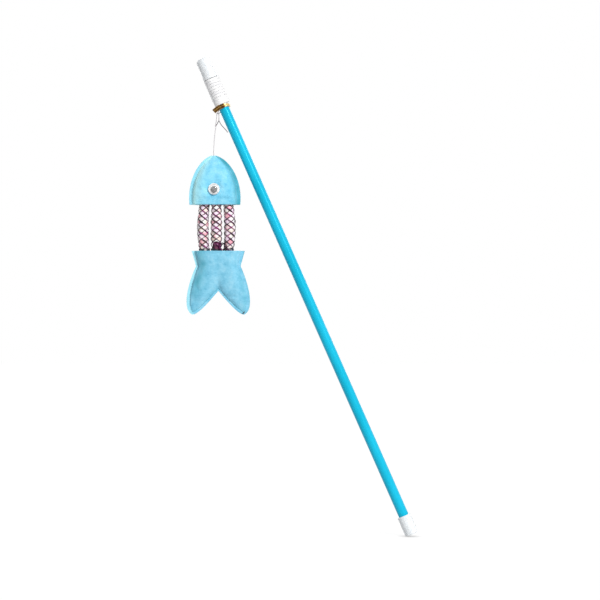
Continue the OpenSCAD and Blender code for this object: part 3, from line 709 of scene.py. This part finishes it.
def tie():
    """The gold strip: a free end to the left, then round the wand."""
    rng = random.Random(11)
    line, normals, widths = [], [], []
    for part in 1 - np.arange(TIE_END_STEPS) / TIE_END_STEPS:
        height = TIE_W * TIE_HEIGHT_SHARES[0] * (1 - part**2)
        line.append([-part * TIE_END, -TIE_R, TIE_MID + height])
        normals.append([0, -1, 0])
        widths.append(1)
    for a in np.linspace(0, TIE_STOP, TIE_ROUND_STEPS):
        normals.append([math.sin(a), -math.cos(a), 0])
        line.append([TIE_R * math.sin(a), -TIE_R * math.cos(a), TIE_MID + TIE_W * tie_height(a)])
        widths.append(1 - TIE_PINCH_SHARE * rise(a, TIE_PINCH_FROM, TIE_PINCH_OVER))
    # Painted light: just past the free end the tint rises, so the strip turns light gold round the
    # wand
    tint = [0.75 * rise(i, TIE_END_STEPS + 3, 5) + 0.1 * rng.random() for i in range(len(line))]
    section = [(x * TIE_W / 2, TIE_T / 2 + TIE_RIDGE_H * out) for x, out in TIE_PROFILE_SHARES]
    section += [(x * TIE_W / 2, -TIE_T / 2 + TIE_RIDGE_H * TIE_INNER_RIDGE_SHARE * out)
                for x, out in reversed(TIE_PROFILE_SHARES)]
    section = np.array(section)
    line, normals = in_wand(line), in_wand(normals)
    shape = Shape()
    shape.sweep(line, normals, section, tint=tint)
    points = shape.points[0].reshape(len(line), len(section), 3)
    sides = np.cross(tangents(line), normals)
    for ring, middle, side, normal, width in zip(points, line, sides, normals, widths):
        ring -= ((ring - middle) @ side)[:, None] * side * (1 - width)
        for point in ring:
            point += normal * TIE_CREASE_H * noise.noise(Vector(point * TIE_CREASES))
    shape.uvs[0][:, 1] = np.tile(0.5 + section[:, 0] / TIE_W, len(line))
    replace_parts(shape.make("gold_tie", GOLD, "wand", "gold_film"), "twist_tie")


# The line's turns round the tube. Each place is a turn, counted from the left, and its
# height over the lowest point
HITCH_R = TUBE_R + SNUG + LINE_D / 2
HITCH_NOSE = 0.0018
HITCH_DROP = 0.0023
HITCH_PLACES = [(-1.75, 0.0039), (-0.75, 0.0026), (-0.25, 0.0011), (0, 0), (0.12, 0.0023),
                (0.25, 0.00335)]


def hitch():
    """Turns under the tie, with a nose at the left that the loop hangs on."""
    turn = np.linspace(HITCH_PLACES[0][0], HITCH_PLACES[-1][0], 97)
    up = np.interp(turn, *zip(*HITCH_PLACES))
    nose = np.where(np.abs(turn) < 0.25, HITCH_NOSE * np.cos(TURN * turn) ** 6, 0)
    line = in_wand(round_z(math.pi + TURN * turn, HITCH_R + nose, TIE_MID - HITCH_DROP + up))
    piece = line_piece("line_hitch_turns", line, "wand", normal=(-1, 0, 0))
    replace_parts(piece, "line_hitch")


tie()
hitch()

# The felt head and tail. A place on a panel has s, from -1 to 1 across the stuffed middle
# and on to -2 and 2 across the flat side seams, and v, from 0 to 1 down the panel
FISH = LINE_EXIT + [-0.0023, 0, -0.032]
FELT_T = 0.001
SEAM_GAP = 0.0002
SEAM_W = 0.003
SEAM_COLS = 5
HEAD_HALF = 0.0198
HEAD_H = 0.038
HEAD_CROWN = 0.033
HEAD_PUFF = 0.014
HEAD_PUFF_POWER = 0.7
MOUTH_PUFF = 0.0098
HEAD_FULL_SHARE = 0.67
TIP_ANGLE = math.radians(7)
TIP_POWER = 1.17
TIP_LEAN = 0.0009
LEAN_POWER = 2.5
MOUTH_ANGLE = math.acos((HEAD_CROWN - HEAD_H) / HEAD_CROWN)
NET_OVER = 0.0012
NET_LEN = 0.0355
TAIL_AT = FISH + [0.00265, 0, -HEAD_H - NET_LEN]
TAIL_HALF = 0.0243
TAIL_H = 0.049
TAIL_TOP_SHARE = 0.84
TAIL_SIDE_SHARES = [(0.705, 0.24), (0.895, 0.435), (1.2, 0.9), (0.83, 1)]
TAIL_FOOT_SHARES = [(0.83, 1), (0.64, 1.015), (0.207, 0.746), (0, 0.629)]
TAIL_SEAM_SHARE = 0.13
TAIL_FOOT_SEAM_SHARE = 0.06
TAIL_THIN_SHARE = 0.45
EYE_OVER = -0.0003
EYE_DOWN = 0.0262
EYE_R = 0.00435
EYE_HELD_SHARE = 1.15
EYE_DENT = 0.0006
EYE_DENT_SHARE = 0.35
EYE_FLAT_SHARE = 0.9
# Where down a panel the felt billows, and its painted shade and light: strength, middle
# and width of each patch
HEAD_LOOSE = (0.02, 0.9)
TAIL_LOOSE = (0.07, 1)
HEAD_RIGHT_SHADE = (0.9, 1.1, 0.24)
HEAD_SEAM_LIGHT = (0.6, -1, 0.13)
TAIL_LEFT_SHADE = (0.55, -0.8, 0.26)
TAIL_NOTCH_SHADE = (0.6, 1.1, 0.14)
TAIL_FOOT_SHADE = (0.35, 1, 0.03)
TAIL_EDGE_SHADE = (0.45, 1.95, 0.14)
TAIL_INNER_SHADE = (0.3, 0.98, 0.12)


def roundness(c):
    return (1 - min(1, abs(c)) ** 3) ** (1 / 3)


def from_eye(x, z):
    """Distance from the eye's middle, in shares of its radius."""
    return np.hypot(x - EYE_OVER, z + EYE_DOWN) / EYE_R


def head_swell(depth):
    part = (depth - SEAM_W) / (HEAD_H - SEAM_W)
    if part <= 0:
        return 0
    if part < HEAD_FULL_SHARE:
        rising = math.sin(math.pi / 2 * part / HEAD_FULL_SHARE)
        return HEAD_PUFF / 2 * rising**HEAD_PUFF_POWER
    turn = math.pi / 2 * (part - HEAD_FULL_SHARE) / (1 - HEAD_FULL_SHARE)
    return MOUTH_PUFF / 2 + (HEAD_PUFF - MOUTH_PUFF) / 2 * math.cos(turn)


def head_place(s, v):
    """Across, swell and down of the head's felt, from its tip to its mouth."""
    angle = TIP_ANGLE + (MOUTH_ANGLE - TIP_ANGLE) * v
    reach, depth = HEAD_HALF * math.sin(angle) ** TIP_POWER, HEAD_CROWN * (1 - math.cos(angle))
    lean = -TIP_LEAN * (1 - v) ** LEAN_POWER
    middle = max(reach - SEAM_W, reach / 2)
    if abs(s) <= 1:
        x, c = s * middle, s
    else:
        x, c = math.copysign(middle + (abs(s) - 1) * (reach - middle), s), 1
    return lean + x, head_swell(depth) * roundness(c), -depth


def bezier(points, t):
    a, b, c, d = np.array(points)
    return (1 - t) ** 3 * a + 3 * t * (1 - t) ** 2 * b + 3 * t * t * (1 - t) * c + t**3 * d


def tail_side(v):
    """A place on the tail's side: straight to its waist, and a curve from there."""
    across, down = TAIL_SIDE_SHARES[0]
    if v < down:
        return np.array([TAIL_TOP_SHARE + (across - TAIL_TOP_SHARE) * v / down, v])
    return bezier(TAIL_SIDE_SHARES, (v - down) / (1 - down))


def with_seam(place, seam_share):
    """A place from 0 to 2, whose seam lies from 1 to 2, as a share of the whole."""
    if place <= 1:
        return place * (1 - seam_share)
    return 1 - seam_share + (place - 1) * seam_share


def tail_place(s, v):
    """The same for the tail, from its mouth down; v goes on to 2 across the foot's seam."""
    c, down = with_seam(abs(s), TAIL_SEAM_SHARE), with_seam(v, TAIL_FOOT_SEAM_SHARE)
    foot, tip = bezier(TAIL_FOOT_SHARES, 1 - c), np.array(TAIL_FOOT_SHARES[0])
    x, z = down * foot + c * tail_side(down) - down * c * tip
    v = min(1, v)
    swell = (MOUTH_PUFF / 2 * (1 - TAIL_THIN_SHARE * v) * roundness(min(1, abs(s)))
             * math.sqrt(1 - v**3))
    return math.copysign(x * TAIL_HALF, s), swell, -z * TAIL_H


def patch(place, strength, middle, width):
    return strength * bell_curve(place, middle, width)


def head_paint(s, v):
    """Shares of painted shade and light on the head: light on its left side, shade on its right.
    """
    right = patch(min(s, HEAD_RIGHT_SHADE[1]), *HEAD_RIGHT_SHADE)
    flank = 0.4 * rise(-s, 0.35, 0.4) * (1 - 0.3 * rise(-s, 1, 0.25))
    return right, flank + patch(s, *HEAD_SEAM_LIGHT)


def tail_paint(s, v):
    """The same on the tail: painted shade inside its left seam, at the notch and at its edges."""
    left = patch(s, *TAIL_LEFT_SHADE) * (1 - rise(v, 0.58, 0.3))
    notch = patch(v, *TAIL_NOTCH_SHADE) * bell_curve(s, -0.15, 0.3)
    foot, edge = patch(v, *TAIL_FOOT_SHADE), patch(s, *TAIL_EDGE_SHADE)
    inner = patch(s, *TAIL_INNER_SHADE) * rise(v, 0.25, 0.2)
    return max(left, notch, foot, edge, inner), 0.4 * rise(-s, 0.95, 0.3)


def columns(count):
    """Places across a panel: count steps on the stuffed middle, and those in its seams."""
    middle = -np.cos(np.linspace(0, math.pi, count + 1))
    edge = np.linspace(2, 1, SEAM_COLS + 1)[:-1]
    return np.concatenate([-edge, middle, edge[::-1]])


def lumps(x, y, z, scale, seed):
    return noise.noise(Vector((x * scale + seed, y * scale, z * scale - seed)))


def lump_grid(grid, scale, seed):
    return np.array([[lumps(x, 0, z, scale, seed) for x, _, z in row] for row in grid])


# The stuffed skin is simulated as cloth, CLOTH_SCALE times as large, held at its seams
CLOTH_SCALE = 20
CLOTH_FRAMES = 16
CLOTH_SETTINGS = {"quality": 4, "mass": 0.3, "tension_stiffness": 15,
                  "compression_stiffness": 15, "bending_stiffness": 0.3,
                  "shrink_min": -0.045, "use_pressure": True, "uniform_pressure_force": 3,
                  "vertex_group_mass": "held"}
CLOTH_MOST = np.array([0.0003, 0.0008, 0.0003])
CLOTH_FADE_SHARE = 0.35
CLOTH_LUMP_H = 0.0004
CLOTH_LUMPS = 150
FULL_SWELL = 0.003


def fullness(swell):
    """0 at the seams, growing to 1 where the felt is well stuffed."""
    return np.minimum(1, swell / FULL_SWELL)


def billowed(grid, cols, rows, held, seed):
    """How far each point of a stuffed skin moves as its cloth billows, with out as +Y."""
    start = grid.copy()
    start[:, :, 1] += CLOTH_LUMP_H * lump_grid(grid, CLOTH_LUMPS, seed) * fullness(grid[:, :, 1])
    quads, _ = grid_quads(len(rows), len(cols))
    trial = add_mesh("cloth_trial", (start.reshape(-1, 3) * CLOTH_SCALE).tolist(),
                     quads[:, [0, 3, 2, 1]].tolist())
    pins = trial.vertex_groups.new(name="held")
    pins.add([i * len(cols) + j for i, v in enumerate(rows) for j, s in enumerate(cols)
              if held(s, v, *grid[i, j, ::2])], 1, "REPLACE")
    cloth = trial.modifiers.new("cloth", "CLOTH")
    for key, value in CLOTH_SETTINGS.items():
        setattr(cloth.settings, key, value)
    cloth.settings.effector_weights.gravity = 0
    cloth.collision_settings.use_collision = False
    for moment in range(1, CLOTH_FRAMES + 1):
        scene.frame_set(moment)
    result = trial.evaluated_get(bpy.context.evaluated_depsgraph_get()).to_mesh()
    places = np.empty(grid.size)
    result.vertices.foreach_get("co", places)
    mesh = trial.data
    bpy.data.objects.remove(trial)
    bpy.data.meshes.remove(mesh)
    scene.frame_set(1)
    moved = places.reshape(grid.shape) / CLOTH_SCALE - grid
    moved = CLOTH_MOST * np.tanh(moved / CLOTH_MOST)
    moved[:, :, 1] = np.maximum(moved[:, :, 1], 0)
    fade = np.clip((1 - np.abs(cols)) / CLOTH_FADE_SHARE, 0, 1)
    return moved * fade[None, :, None]


class Half:
    """A stuffed half of the fish: what it rides on, its place, its form and its felt."""

    def __init__(self, name, body, at, felt, place, paint, loose, eye, cols, rows, seed):
        self.name, self.body, self.at, self.felt = name, body, at, felt
        self.place, self.loose, self.eye = place, loose, eye
        self.grid = np.array([[place(s, v) for s in cols] for v in rows])
        self.paints = np.array([[paint(s, v) for s in cols] for v in rows])
        self.billow = billowed(self.grid, cols, rows, self.held, seed)

    def held(self, s, v, x, z):
        """Whether the cloth is held at a place: at its border, or under the eye."""
        free = abs(s) < 1 and self.loose[0] < v < self.loose[1]
        return not free or self.eye and from_eye(x, z) < EYE_HELD_SHARE

    def pad(self, name, points, turned, size, mat, slot, fill, node):
        """Makes a padded piece of this half from two skins, and closes their border."""
        piece = add_mesh(f"{self.name}_{name}", points, skin_faces(*size, turned), mat)
        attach(piece, self.body)
        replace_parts(piece, f"{self.name}_{node}")
        return piece


head = Half("head", "fish", FISH, HEAD_FELT, head_place, head_paint, HEAD_LOOSE, True,
            columns(56), np.linspace(0, 1, 57), seed=2.5)
tail = Half("tail", "tail", TAIL_AT, TAIL_FELT, tail_place, tail_paint, TAIL_LOOSE, False,
            columns(64), np.append(np.sin(np.linspace(0, math.pi / 2, 49)),
                                   [1.25, 1.5, 1.75, 2]), seed=6.5)

# Height and number to a metre of the felt's lumps and of its nap, and its rounded edge
BIG_LUMP_H, BIG_LUMPS = 0.0002, 110
SMALL_LUMP_H, SMALL_LUMPS = 0.00012, 420
NAP_H, NAPS = 0.00006, 1500
# How the painted shade is made uneven: its lumps to a metre, its mean and its play
SHADE_LUMPS, SHADE_MEAN, SHADE_PLAY = 160, 0.9, 0.35
EDGE_ROUNDING = 0.00028
EDGE_LEAST_DEG = 60
WELD_REACH = 0.000003


def skin_points(half, side, seed):
    """Places of a panel's outer and inner skin, stuffed, and dented round the eye."""
    x, swell, z = half.grid.transpose(2, 0, 1)
    swell = swell.copy()
    for _ in range(2):
        swell[1:-1, 1:-1] += 0.25 * (swell[1:-1, :-2] + swell[1:-1, 2:]
                                     - 2 * swell[1:-1, 1:-1])
    full = fullness(swell)
    bulge = (BIG_LUMP_H * lump_grid(half.grid, BIG_LUMPS, seed)
             + SMALL_LUMP_H * lump_grid(half.grid, SMALL_LUMPS, seed + 3)) * full
    bulge += half.billow[:, :, 1]
    if half.eye:
        r = from_eye(x, z)
        bulge *= np.clip(r - EYE_FLAT_SHARE, 0, 1)
        bulge -= EYE_DENT * bell_curve(np.maximum(r, 1), 1, EYE_DENT_SHARE) * full
    nap = NAP_H * lump_grid(half.grid, NAPS, seed + 7)
    inner = SEAM_GAP / 2 + np.maximum(0, swell + bulge)
    x, z = half.at[0] + x + half.billow[:, :, 0], half.at[2] + z + half.billow[:, :, 2]
    return [point for out in (inner + FELT_T + nap, inner)
            for point in np.stack([x, side * out, z], -1).reshape(-1, 3).tolist()]


def felt_panel(half, end, seed):
    """One felt panel of a stuffed piece: two skins and a rim between them."""
    back = end == "back"
    shade, light = half.paints.transpose(2, 0, 1)
    piece = half.pad("felt_" + end, skin_points(half, 1 if back else -1, seed), back,
                     shade.shape, half.felt, "blue_felt", 0.8, end)
    # The painted shade, made uneven, and the painted light are kept for the felt's material
    uneven = SHADE_MEAN + SHADE_PLAY * lump_grid(half.grid, SHADE_LUMPS, seed)
    for key, values in (("shade", shade * uneven), ("seam_light", light)):
        keep_values(piece.data, key, np.tile(np.clip(values, 0, 1).ravel(), 2))
    bevel = piece.modifiers.new("rounded_edge", "BEVEL")
    bevel.width = EDGE_ROUNDING
    bevel.segments = 2
    bevel.limit_method = "ANGLE"
    bevel.angle_limit = math.radians(EDGE_LEAST_DEG)
    weld = piece.modifiers.new("joined_points", "WELD")
    weld.merge_threshold = WELD_REACH


for half, end, seed in ((head, "front", 1.3), (head, "back", 4.1), (tail, "front", 7.7),
                        (tail, "back", 9.2)):
    felt_panel(half, end, seed)

FILL_GAP = 0.0003
FILL_LEAST = 0.0001
FILL_WIDTH_SHARE = 0.965
TUFT_H = 0.0003
TUFTS = 500


def stuffing(half, rows, seed):
    """A lumpy body inside a half's hollow."""
    cols = -np.cos(np.linspace(0, math.pi, 29))
    points = []
    for side in (-1, 1):
        for v in rows:
            for s in cols:
                x, swell, z = half.place(s, v)
                tuft = TUFT_H * (1 + lumps(x, side, z, TUFTS, seed))
                out = max(FILL_LEAST, swell - FILL_GAP - tuft)
                points.append((half.at[0] + FILL_WIDTH_SHARE * x, side * out, half.at[2] + z))
    half.pad("stuffing", points, False, (len(rows), len(cols)), FILLING, "filling", 0.7,
             "filling")


stuffing(head, np.linspace(0.375, 0.875, 24), seed=2.2)
stuffing(tail, np.linspace(0.2, 0.92, 26), seed=5.5)

# The nets. Each way round has its direction, its strands' width and height, and a shade
NET_END_D = 0.008
NET_D = 0.0092
NET_END_SPACING = 0.0092
NET_SPACING = 0.0104
NET_IN = 0.0028
NET_AT = FISH + [NET_OVER, 0, -HEAD_H]
NET_FOOT = NET_AT - [0, 0, NET_LEN]
NET_STRANDS = 4
NET_WAYS = [(1, 0.00095, 0.0005, 0.26), (-1, 0.0006, 0.0004, 0.78)]
NET_TURN = math.radians(725)
NET_STEPS = 150
NET_TWIST = 0.3
NET_WEAVE = 0.00012
NET_STRAND_DEPTH = 0.00028
NET_THICK_SHARE = 0.78
NET_TOP_LIGHT_SHARE = 0.04
# How far a strand strays, and how much and how often its thickness and tint change
NET_STRAY = 0.1
NET_THICK_PLAY, NET_THICK_WAVES = 0.55, 6
NET_TINT_PLAY, NET_TINT_WAVES = 0.45, 5
CELL_STEPS = 6
CELL_EDGE_SHARE = 0.03
CELL_ROWS = round(2 * NET_STRANDS * NET_TURN / TURN) + 1
BELL_ROWS = CELL_ROWS - 5
BELL_OPEN_SHARE = 0.45
OPEN_SHARE = 0.08
FILM_TONES, FILM_TONE_PLAY = (0.08, 1), 0.25
FILM_DEPTH = 0.0006
FILM_T = 0.00007
FILM_CRUMPLE_H = 0.0003
FILM_CRUMPLES = 2.2


def net_place(which, a, part, depth):
    """A place in a net tube's wall, by its angle and its share of the length, and the
    way out there."""
    bow = np.sin(math.pi * np.clip(part, 0, 1))
    r = (NET_END_D + (NET_D - NET_END_D) * bow) / 2 - depth
    x = which * (NET_END_SPACING + (NET_SPACING - NET_END_SPACING) * bow)
    out = round_z(a)
    middle = np.stack([x, 0 * a, -NET_LEN * part], -1)
    return NET_AT + middle + r[..., None] * out, out


def wavy(rng, amount, waves=3):
    """A smooth random function of the place along a strand."""
    parts = [(rng.uniform(2, 9), rng.uniform(0, TURN), rng.uniform(0.3, 1))
             for _ in range(waves)]
    total = sum(weight for _, _, weight in parts)
    return lambda t: amount * sum(w * np.sin(f * t + g) for f, g, w in parts) / total


def net_strand(shape, which, start, direction, width, height, shade, rng):
    """A strand down a net tube, from inside the head to inside the tail."""
    part = np.linspace(-NET_IN / NET_LEN, 1 + NET_IN / NET_LEN, NET_STEPS)
    turned = NET_TURN * part
    a = start + direction * turned + wavy(rng, NET_STRAY)(part)
    weave = direction * NET_WEAVE * np.cos(math.pi * turned / (TURN / NET_STRANDS / 2))
    line, out = net_place(which, a, part, NET_STRAND_DEPTH - weave)
    thick = NET_THICK_SHARE + wavy(rng, NET_THICK_PLAY)(part * NET_THICK_WAVES)
    tint = shade + wavy(rng, NET_TINT_PLAY)(part * NET_TINT_WAVES)
    # Painted light: the strands turn lighter near the head's mouth, where the head's shadow falls
    # on them
    tint += (1 - tint) * bell_curve(part, NET_TOP_LIGHT_SHARE, NET_TOP_LIGHT_SHARE)
    shape.sweep(line, out, oval(width, height), thick, np.clip(tint, 0, 1))


def film_cell(shape, which, m, n, tone, rng):
    """A crinkled patch of film, of two skins, in the diamond between four strands."""
    t = np.linspace(CELL_EDGE_SHARE, 1 - CELL_EDGE_SHARE, CELL_STEPS)
    u, v = np.meshgrid(m + t, n + t, indexing="ij")
    a = (u + v) / 2 * TURN / NET_STRANDS + NET_TWIST * which
    part = (v - u) / 2 * TURN / NET_STRANDS / NET_TURN
    seed = rng.uniform(0, 9)
    crumple = np.array([[noise.noise(Vector((FILM_CRUMPLES * p + seed, FILM_CRUMPLES * q,
                                             seed))) for q in t] for p in t])
    tint = np.clip(tone + FILM_TONE_PLAY * crumple * (tone > 0), 0, 1).ravel()
    skins = [net_place(which, a, part, FILM_DEPTH + skin - FILM_CRUMPLE_H * crumple)[0]
             for skin in (0, FILM_T)]
    shape.add(np.concatenate([skin.reshape(-1, 3) for skin in skins]),
              skin_faces(CELL_STEPS, CELL_STEPS, turned=True), np.tile(tint, 2),
              np.tile(np.stack([u, v], -1).reshape(-1, 2), (2, 1)))


def net(name, which, seed):
    """Bold strands one way and thin ones the other way, with film in their diamonds."""
    rng = random.Random(seed)
    strands, patches = Shape(), Shape()
    for i in range(NET_STRANDS):
        for way in NET_WAYS:
            net_strand(strands, which, TURN * i / NET_STRANDS + NET_TWIST * which, *way, rng)
    for m in range(NET_STRANDS):
        for row in range(CELL_ROWS):
            by_bell = which == 0 and row > BELL_ROWS
            tone = 0 if by_bell else rng.uniform(*FILM_TONES)
            if rng.random() > (BELL_OPEN_SHARE if by_bell else OPEN_SHARE):
                film_cell(patches, which, m, m + row, tone, rng)
    for shape, mat, end in ((strands, STRAND, "strands"), (patches, FILM, "film")):
        piece = shape.make(name + "_" + end, mat, None, "net_film")
        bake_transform(piece)
        if shape is strands:
            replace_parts(piece, name)


net("net_left", -1, 21)
net("net_middle", 0, 22)
net("net_right", 1, 23)

FOOT_TURNS = 3.2
FOOT_W, FOOT_H = 0.0008, 0.0006
FOOT_UP, FOOT_CLIMB = 0.0005, 0.001
FOOT_STRAY, FOOT_STRAY_WAVES = 0.0011, 14
FOOT_THICK_SHARE, FOOT_THICK_PLAY, FOOT_THICK_WAVES = 0.52, 0.9, 20
FOOT_THICK_RANGE = (0.1, 1.4)
FOOT_PLAY = 0.0001
FOOT_BULGE, FOOT_BULGE_WAVES = 0.0003, 12
# Loose purple thread between the bell and the right net, in millimetres from the nets' foot
BELL_THREAD = [
    (1.2, -3.6, 0.6), (2.6, -4.6, 2.2), (3.4, -4.9, 4.6), (4.6, -5, 6), (6, -5, 5.2),
    (6.4, -4.9, 3), (5.6, -4.8, 1.2), (4.2, -4.7, 0.6), (3.4, -4.8, 2.2), (4.4, -5, 4.4),
    (6.2, -5.1, 5.8), (7.6, -5.1, 4.4), (8.2, -4.9, 2), (9, -4.6, -0.6)
]
BELL_THREAD_W, BELL_THREAD_H = 0.0007, 0.0006


def net_foot_thread():
    """Dark thread wound round the foot of each net tube, where it is sewn to the tail."""
    rng = random.Random(5)
    shape = Shape()
    for which in (-1, 0, 1):
        t = np.linspace(0, 1, 160)
        a = TURN * FOOT_TURNS * t + which
        up = FOOT_UP + FOOT_CLIMB * t + wavy(rng, FOOT_STRAY, 5)(t * FOOT_STRAY_WAVES)
        thick = FOOT_THICK_SHARE + wavy(rng, FOOT_THICK_PLAY, 5)(t * FOOT_THICK_WAVES)
        r = NET_END_D / 2 + FOOT_PLAY + wavy(rng, FOOT_BULGE, 5)(t * FOOT_BULGE_WAVES)
        line = NET_FOOT + [which * NET_END_SPACING, 0, 0] + round_z(a, r, up)
        shape.sweep(line, round_z(a), oval(FOOT_W, FOOT_H),
                    np.clip(thick, *FOOT_THICK_RANGE), tint=0.1)
    shape.make("net_foot_thread", DARK_THREAD, "tail", "dark_thread")


def bell_thread():
    line = NET_FOOT + MM * smooth_line(BELL_THREAD, 6)
    tint = 0.2 + 0.2 * np.sin(np.linspace(0, 14, len(line)))
    shape = Shape()
    shape.strand(line, (0, -1, 0), BELL_THREAD_W, BELL_THREAD_H, tint=tint)
    shape.make("bell_thread", STRAND, "tail", "net_film")


net_foot_thread()
bell_thread()

# Stitches, at the mouths of head and tail and at IN_SEAM in the flat seams
MOUTH_THREAD_D = 0.00035
SEAM_THREAD_D = 0.00025
STITCH_SINK = 0.00008
STITCH_OUT_SHARE, STITCH_IN_SHARE = 0.5, 0.4
IN_SEAM = 1.3


def stitch_row(half, end, width, path):
    """Short stitches along a path of (s, v) places on the felt, on its two sides."""
    t = np.linspace(0, 1, 7)
    arch = width * (STITCH_OUT_SHARE * np.sin(math.pi * t) - STITCH_IN_SHARE) - STITCH_SINK
    shape = Shape()
    for side in (-1, 1):
        for start, stop in path:
            places = start + np.outer(t, stop - start)
            x, swell, z = np.array([half.place(s, v) for s, v in places]).T
            out = side * (SEAM_GAP / 2 + FELT_T + swell + arch)
            line = np.stack([half.at[0] + x, out, half.at[2] + z], 1)
            shape.sweep(line, (0, side, 0), oval(width, width), tint=0.4)
    shape.make(f"{half.name}_{end}_stitches", BLUE_THREAD, half.body, "blue_felt")


def dashes(start, stop, count, share):
    """Count stitches from one place to another, each a share of its step long."""
    start, step = np.array(start), np.subtract(stop, start) / count
    return [(start + step * k, start + step * (k + share)) for k in range(count)]


def side_dashes(low, high, count):
    """Stitches in the two side seams."""
    return [dash for s in (-IN_SEAM, IN_SEAM)
            for dash in dashes((s, low), (s, high), count, 0.6)]


stitch_row(head, "mouth", MOUTH_THREAD_D, dashes((-0.86, 0.93), (0.86, 0.93), 11, 0.42))
stitch_row(tail, "mouth", MOUTH_THREAD_D, dashes((-0.95, 0.045), (0.95, 0.045), 16, 0.5))
stitch_row(head, "seam", SEAM_THREAD_D, side_dashes(0.12, 0.98, 21))
stitch_row(tail, "seam", SEAM_THREAD_D, side_dashes(0.03, 0.97, 26)
           + dashes((-0.97, IN_SEAM), (0.97, IN_SEAM), 34, 0.6))

# The thread's knot at the tail's tip. Its places are shares of the CAD knot's radius
TIP_KNOT_D = 0.00045
TIP_END_D = 0.0003
TIP_KNOT_SHARE = 0.8
TIP_COIL_SHARE, TIP_WAVE_SHARE, TIP_DEPTH_SHARE = 0.55, 0.22, 0.5
TIP_END_SHARES = [[(0, 0, 0), (0.4, -0.3, 0.5), (0.9, -0.4, 1.3), (1.2, -0.3, 2)],
                  [(0, 0, 0), (0.3, -0.4, 0.2), (0.9, -0.5, 0.7), (1.6, -0.5, 1)]]
TIP_NORMAL = (0, 1, 0.2)


def thread_knot():
    """Two turns of thread that wave in and out, and two short ends."""
    low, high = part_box("thread_end")
    centre = np.array((low + high) / 2)
    r = (high[0] - low[0]) / 2
    a = np.linspace(0, 2 * TURN, 90)
    coil = TIP_COIL_SHARE + TIP_WAVE_SHARE * np.cos(1.5 * a)
    ball = round_z(a, coil, TIP_DEPTH_SHARE * np.sin(1.5 * a))[:, [0, 2, 1]]
    line = centre + TIP_KNOT_SHARE * r * ball
    shape = Shape()
    shape.strand(line, TIP_NORMAL, TIP_KNOT_D, TIP_KNOT_D, 10, 0.2)
    for end in TIP_END_SHARES:
        shape.strand(centre + r * smooth_line(end), TIP_NORMAL, TIP_END_D, TIP_END_D, tint=0.3)
    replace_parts(shape.make("thread_knot", DARK_THREAD, "tail", "dark_thread"), "thread_end")


thread_knot()
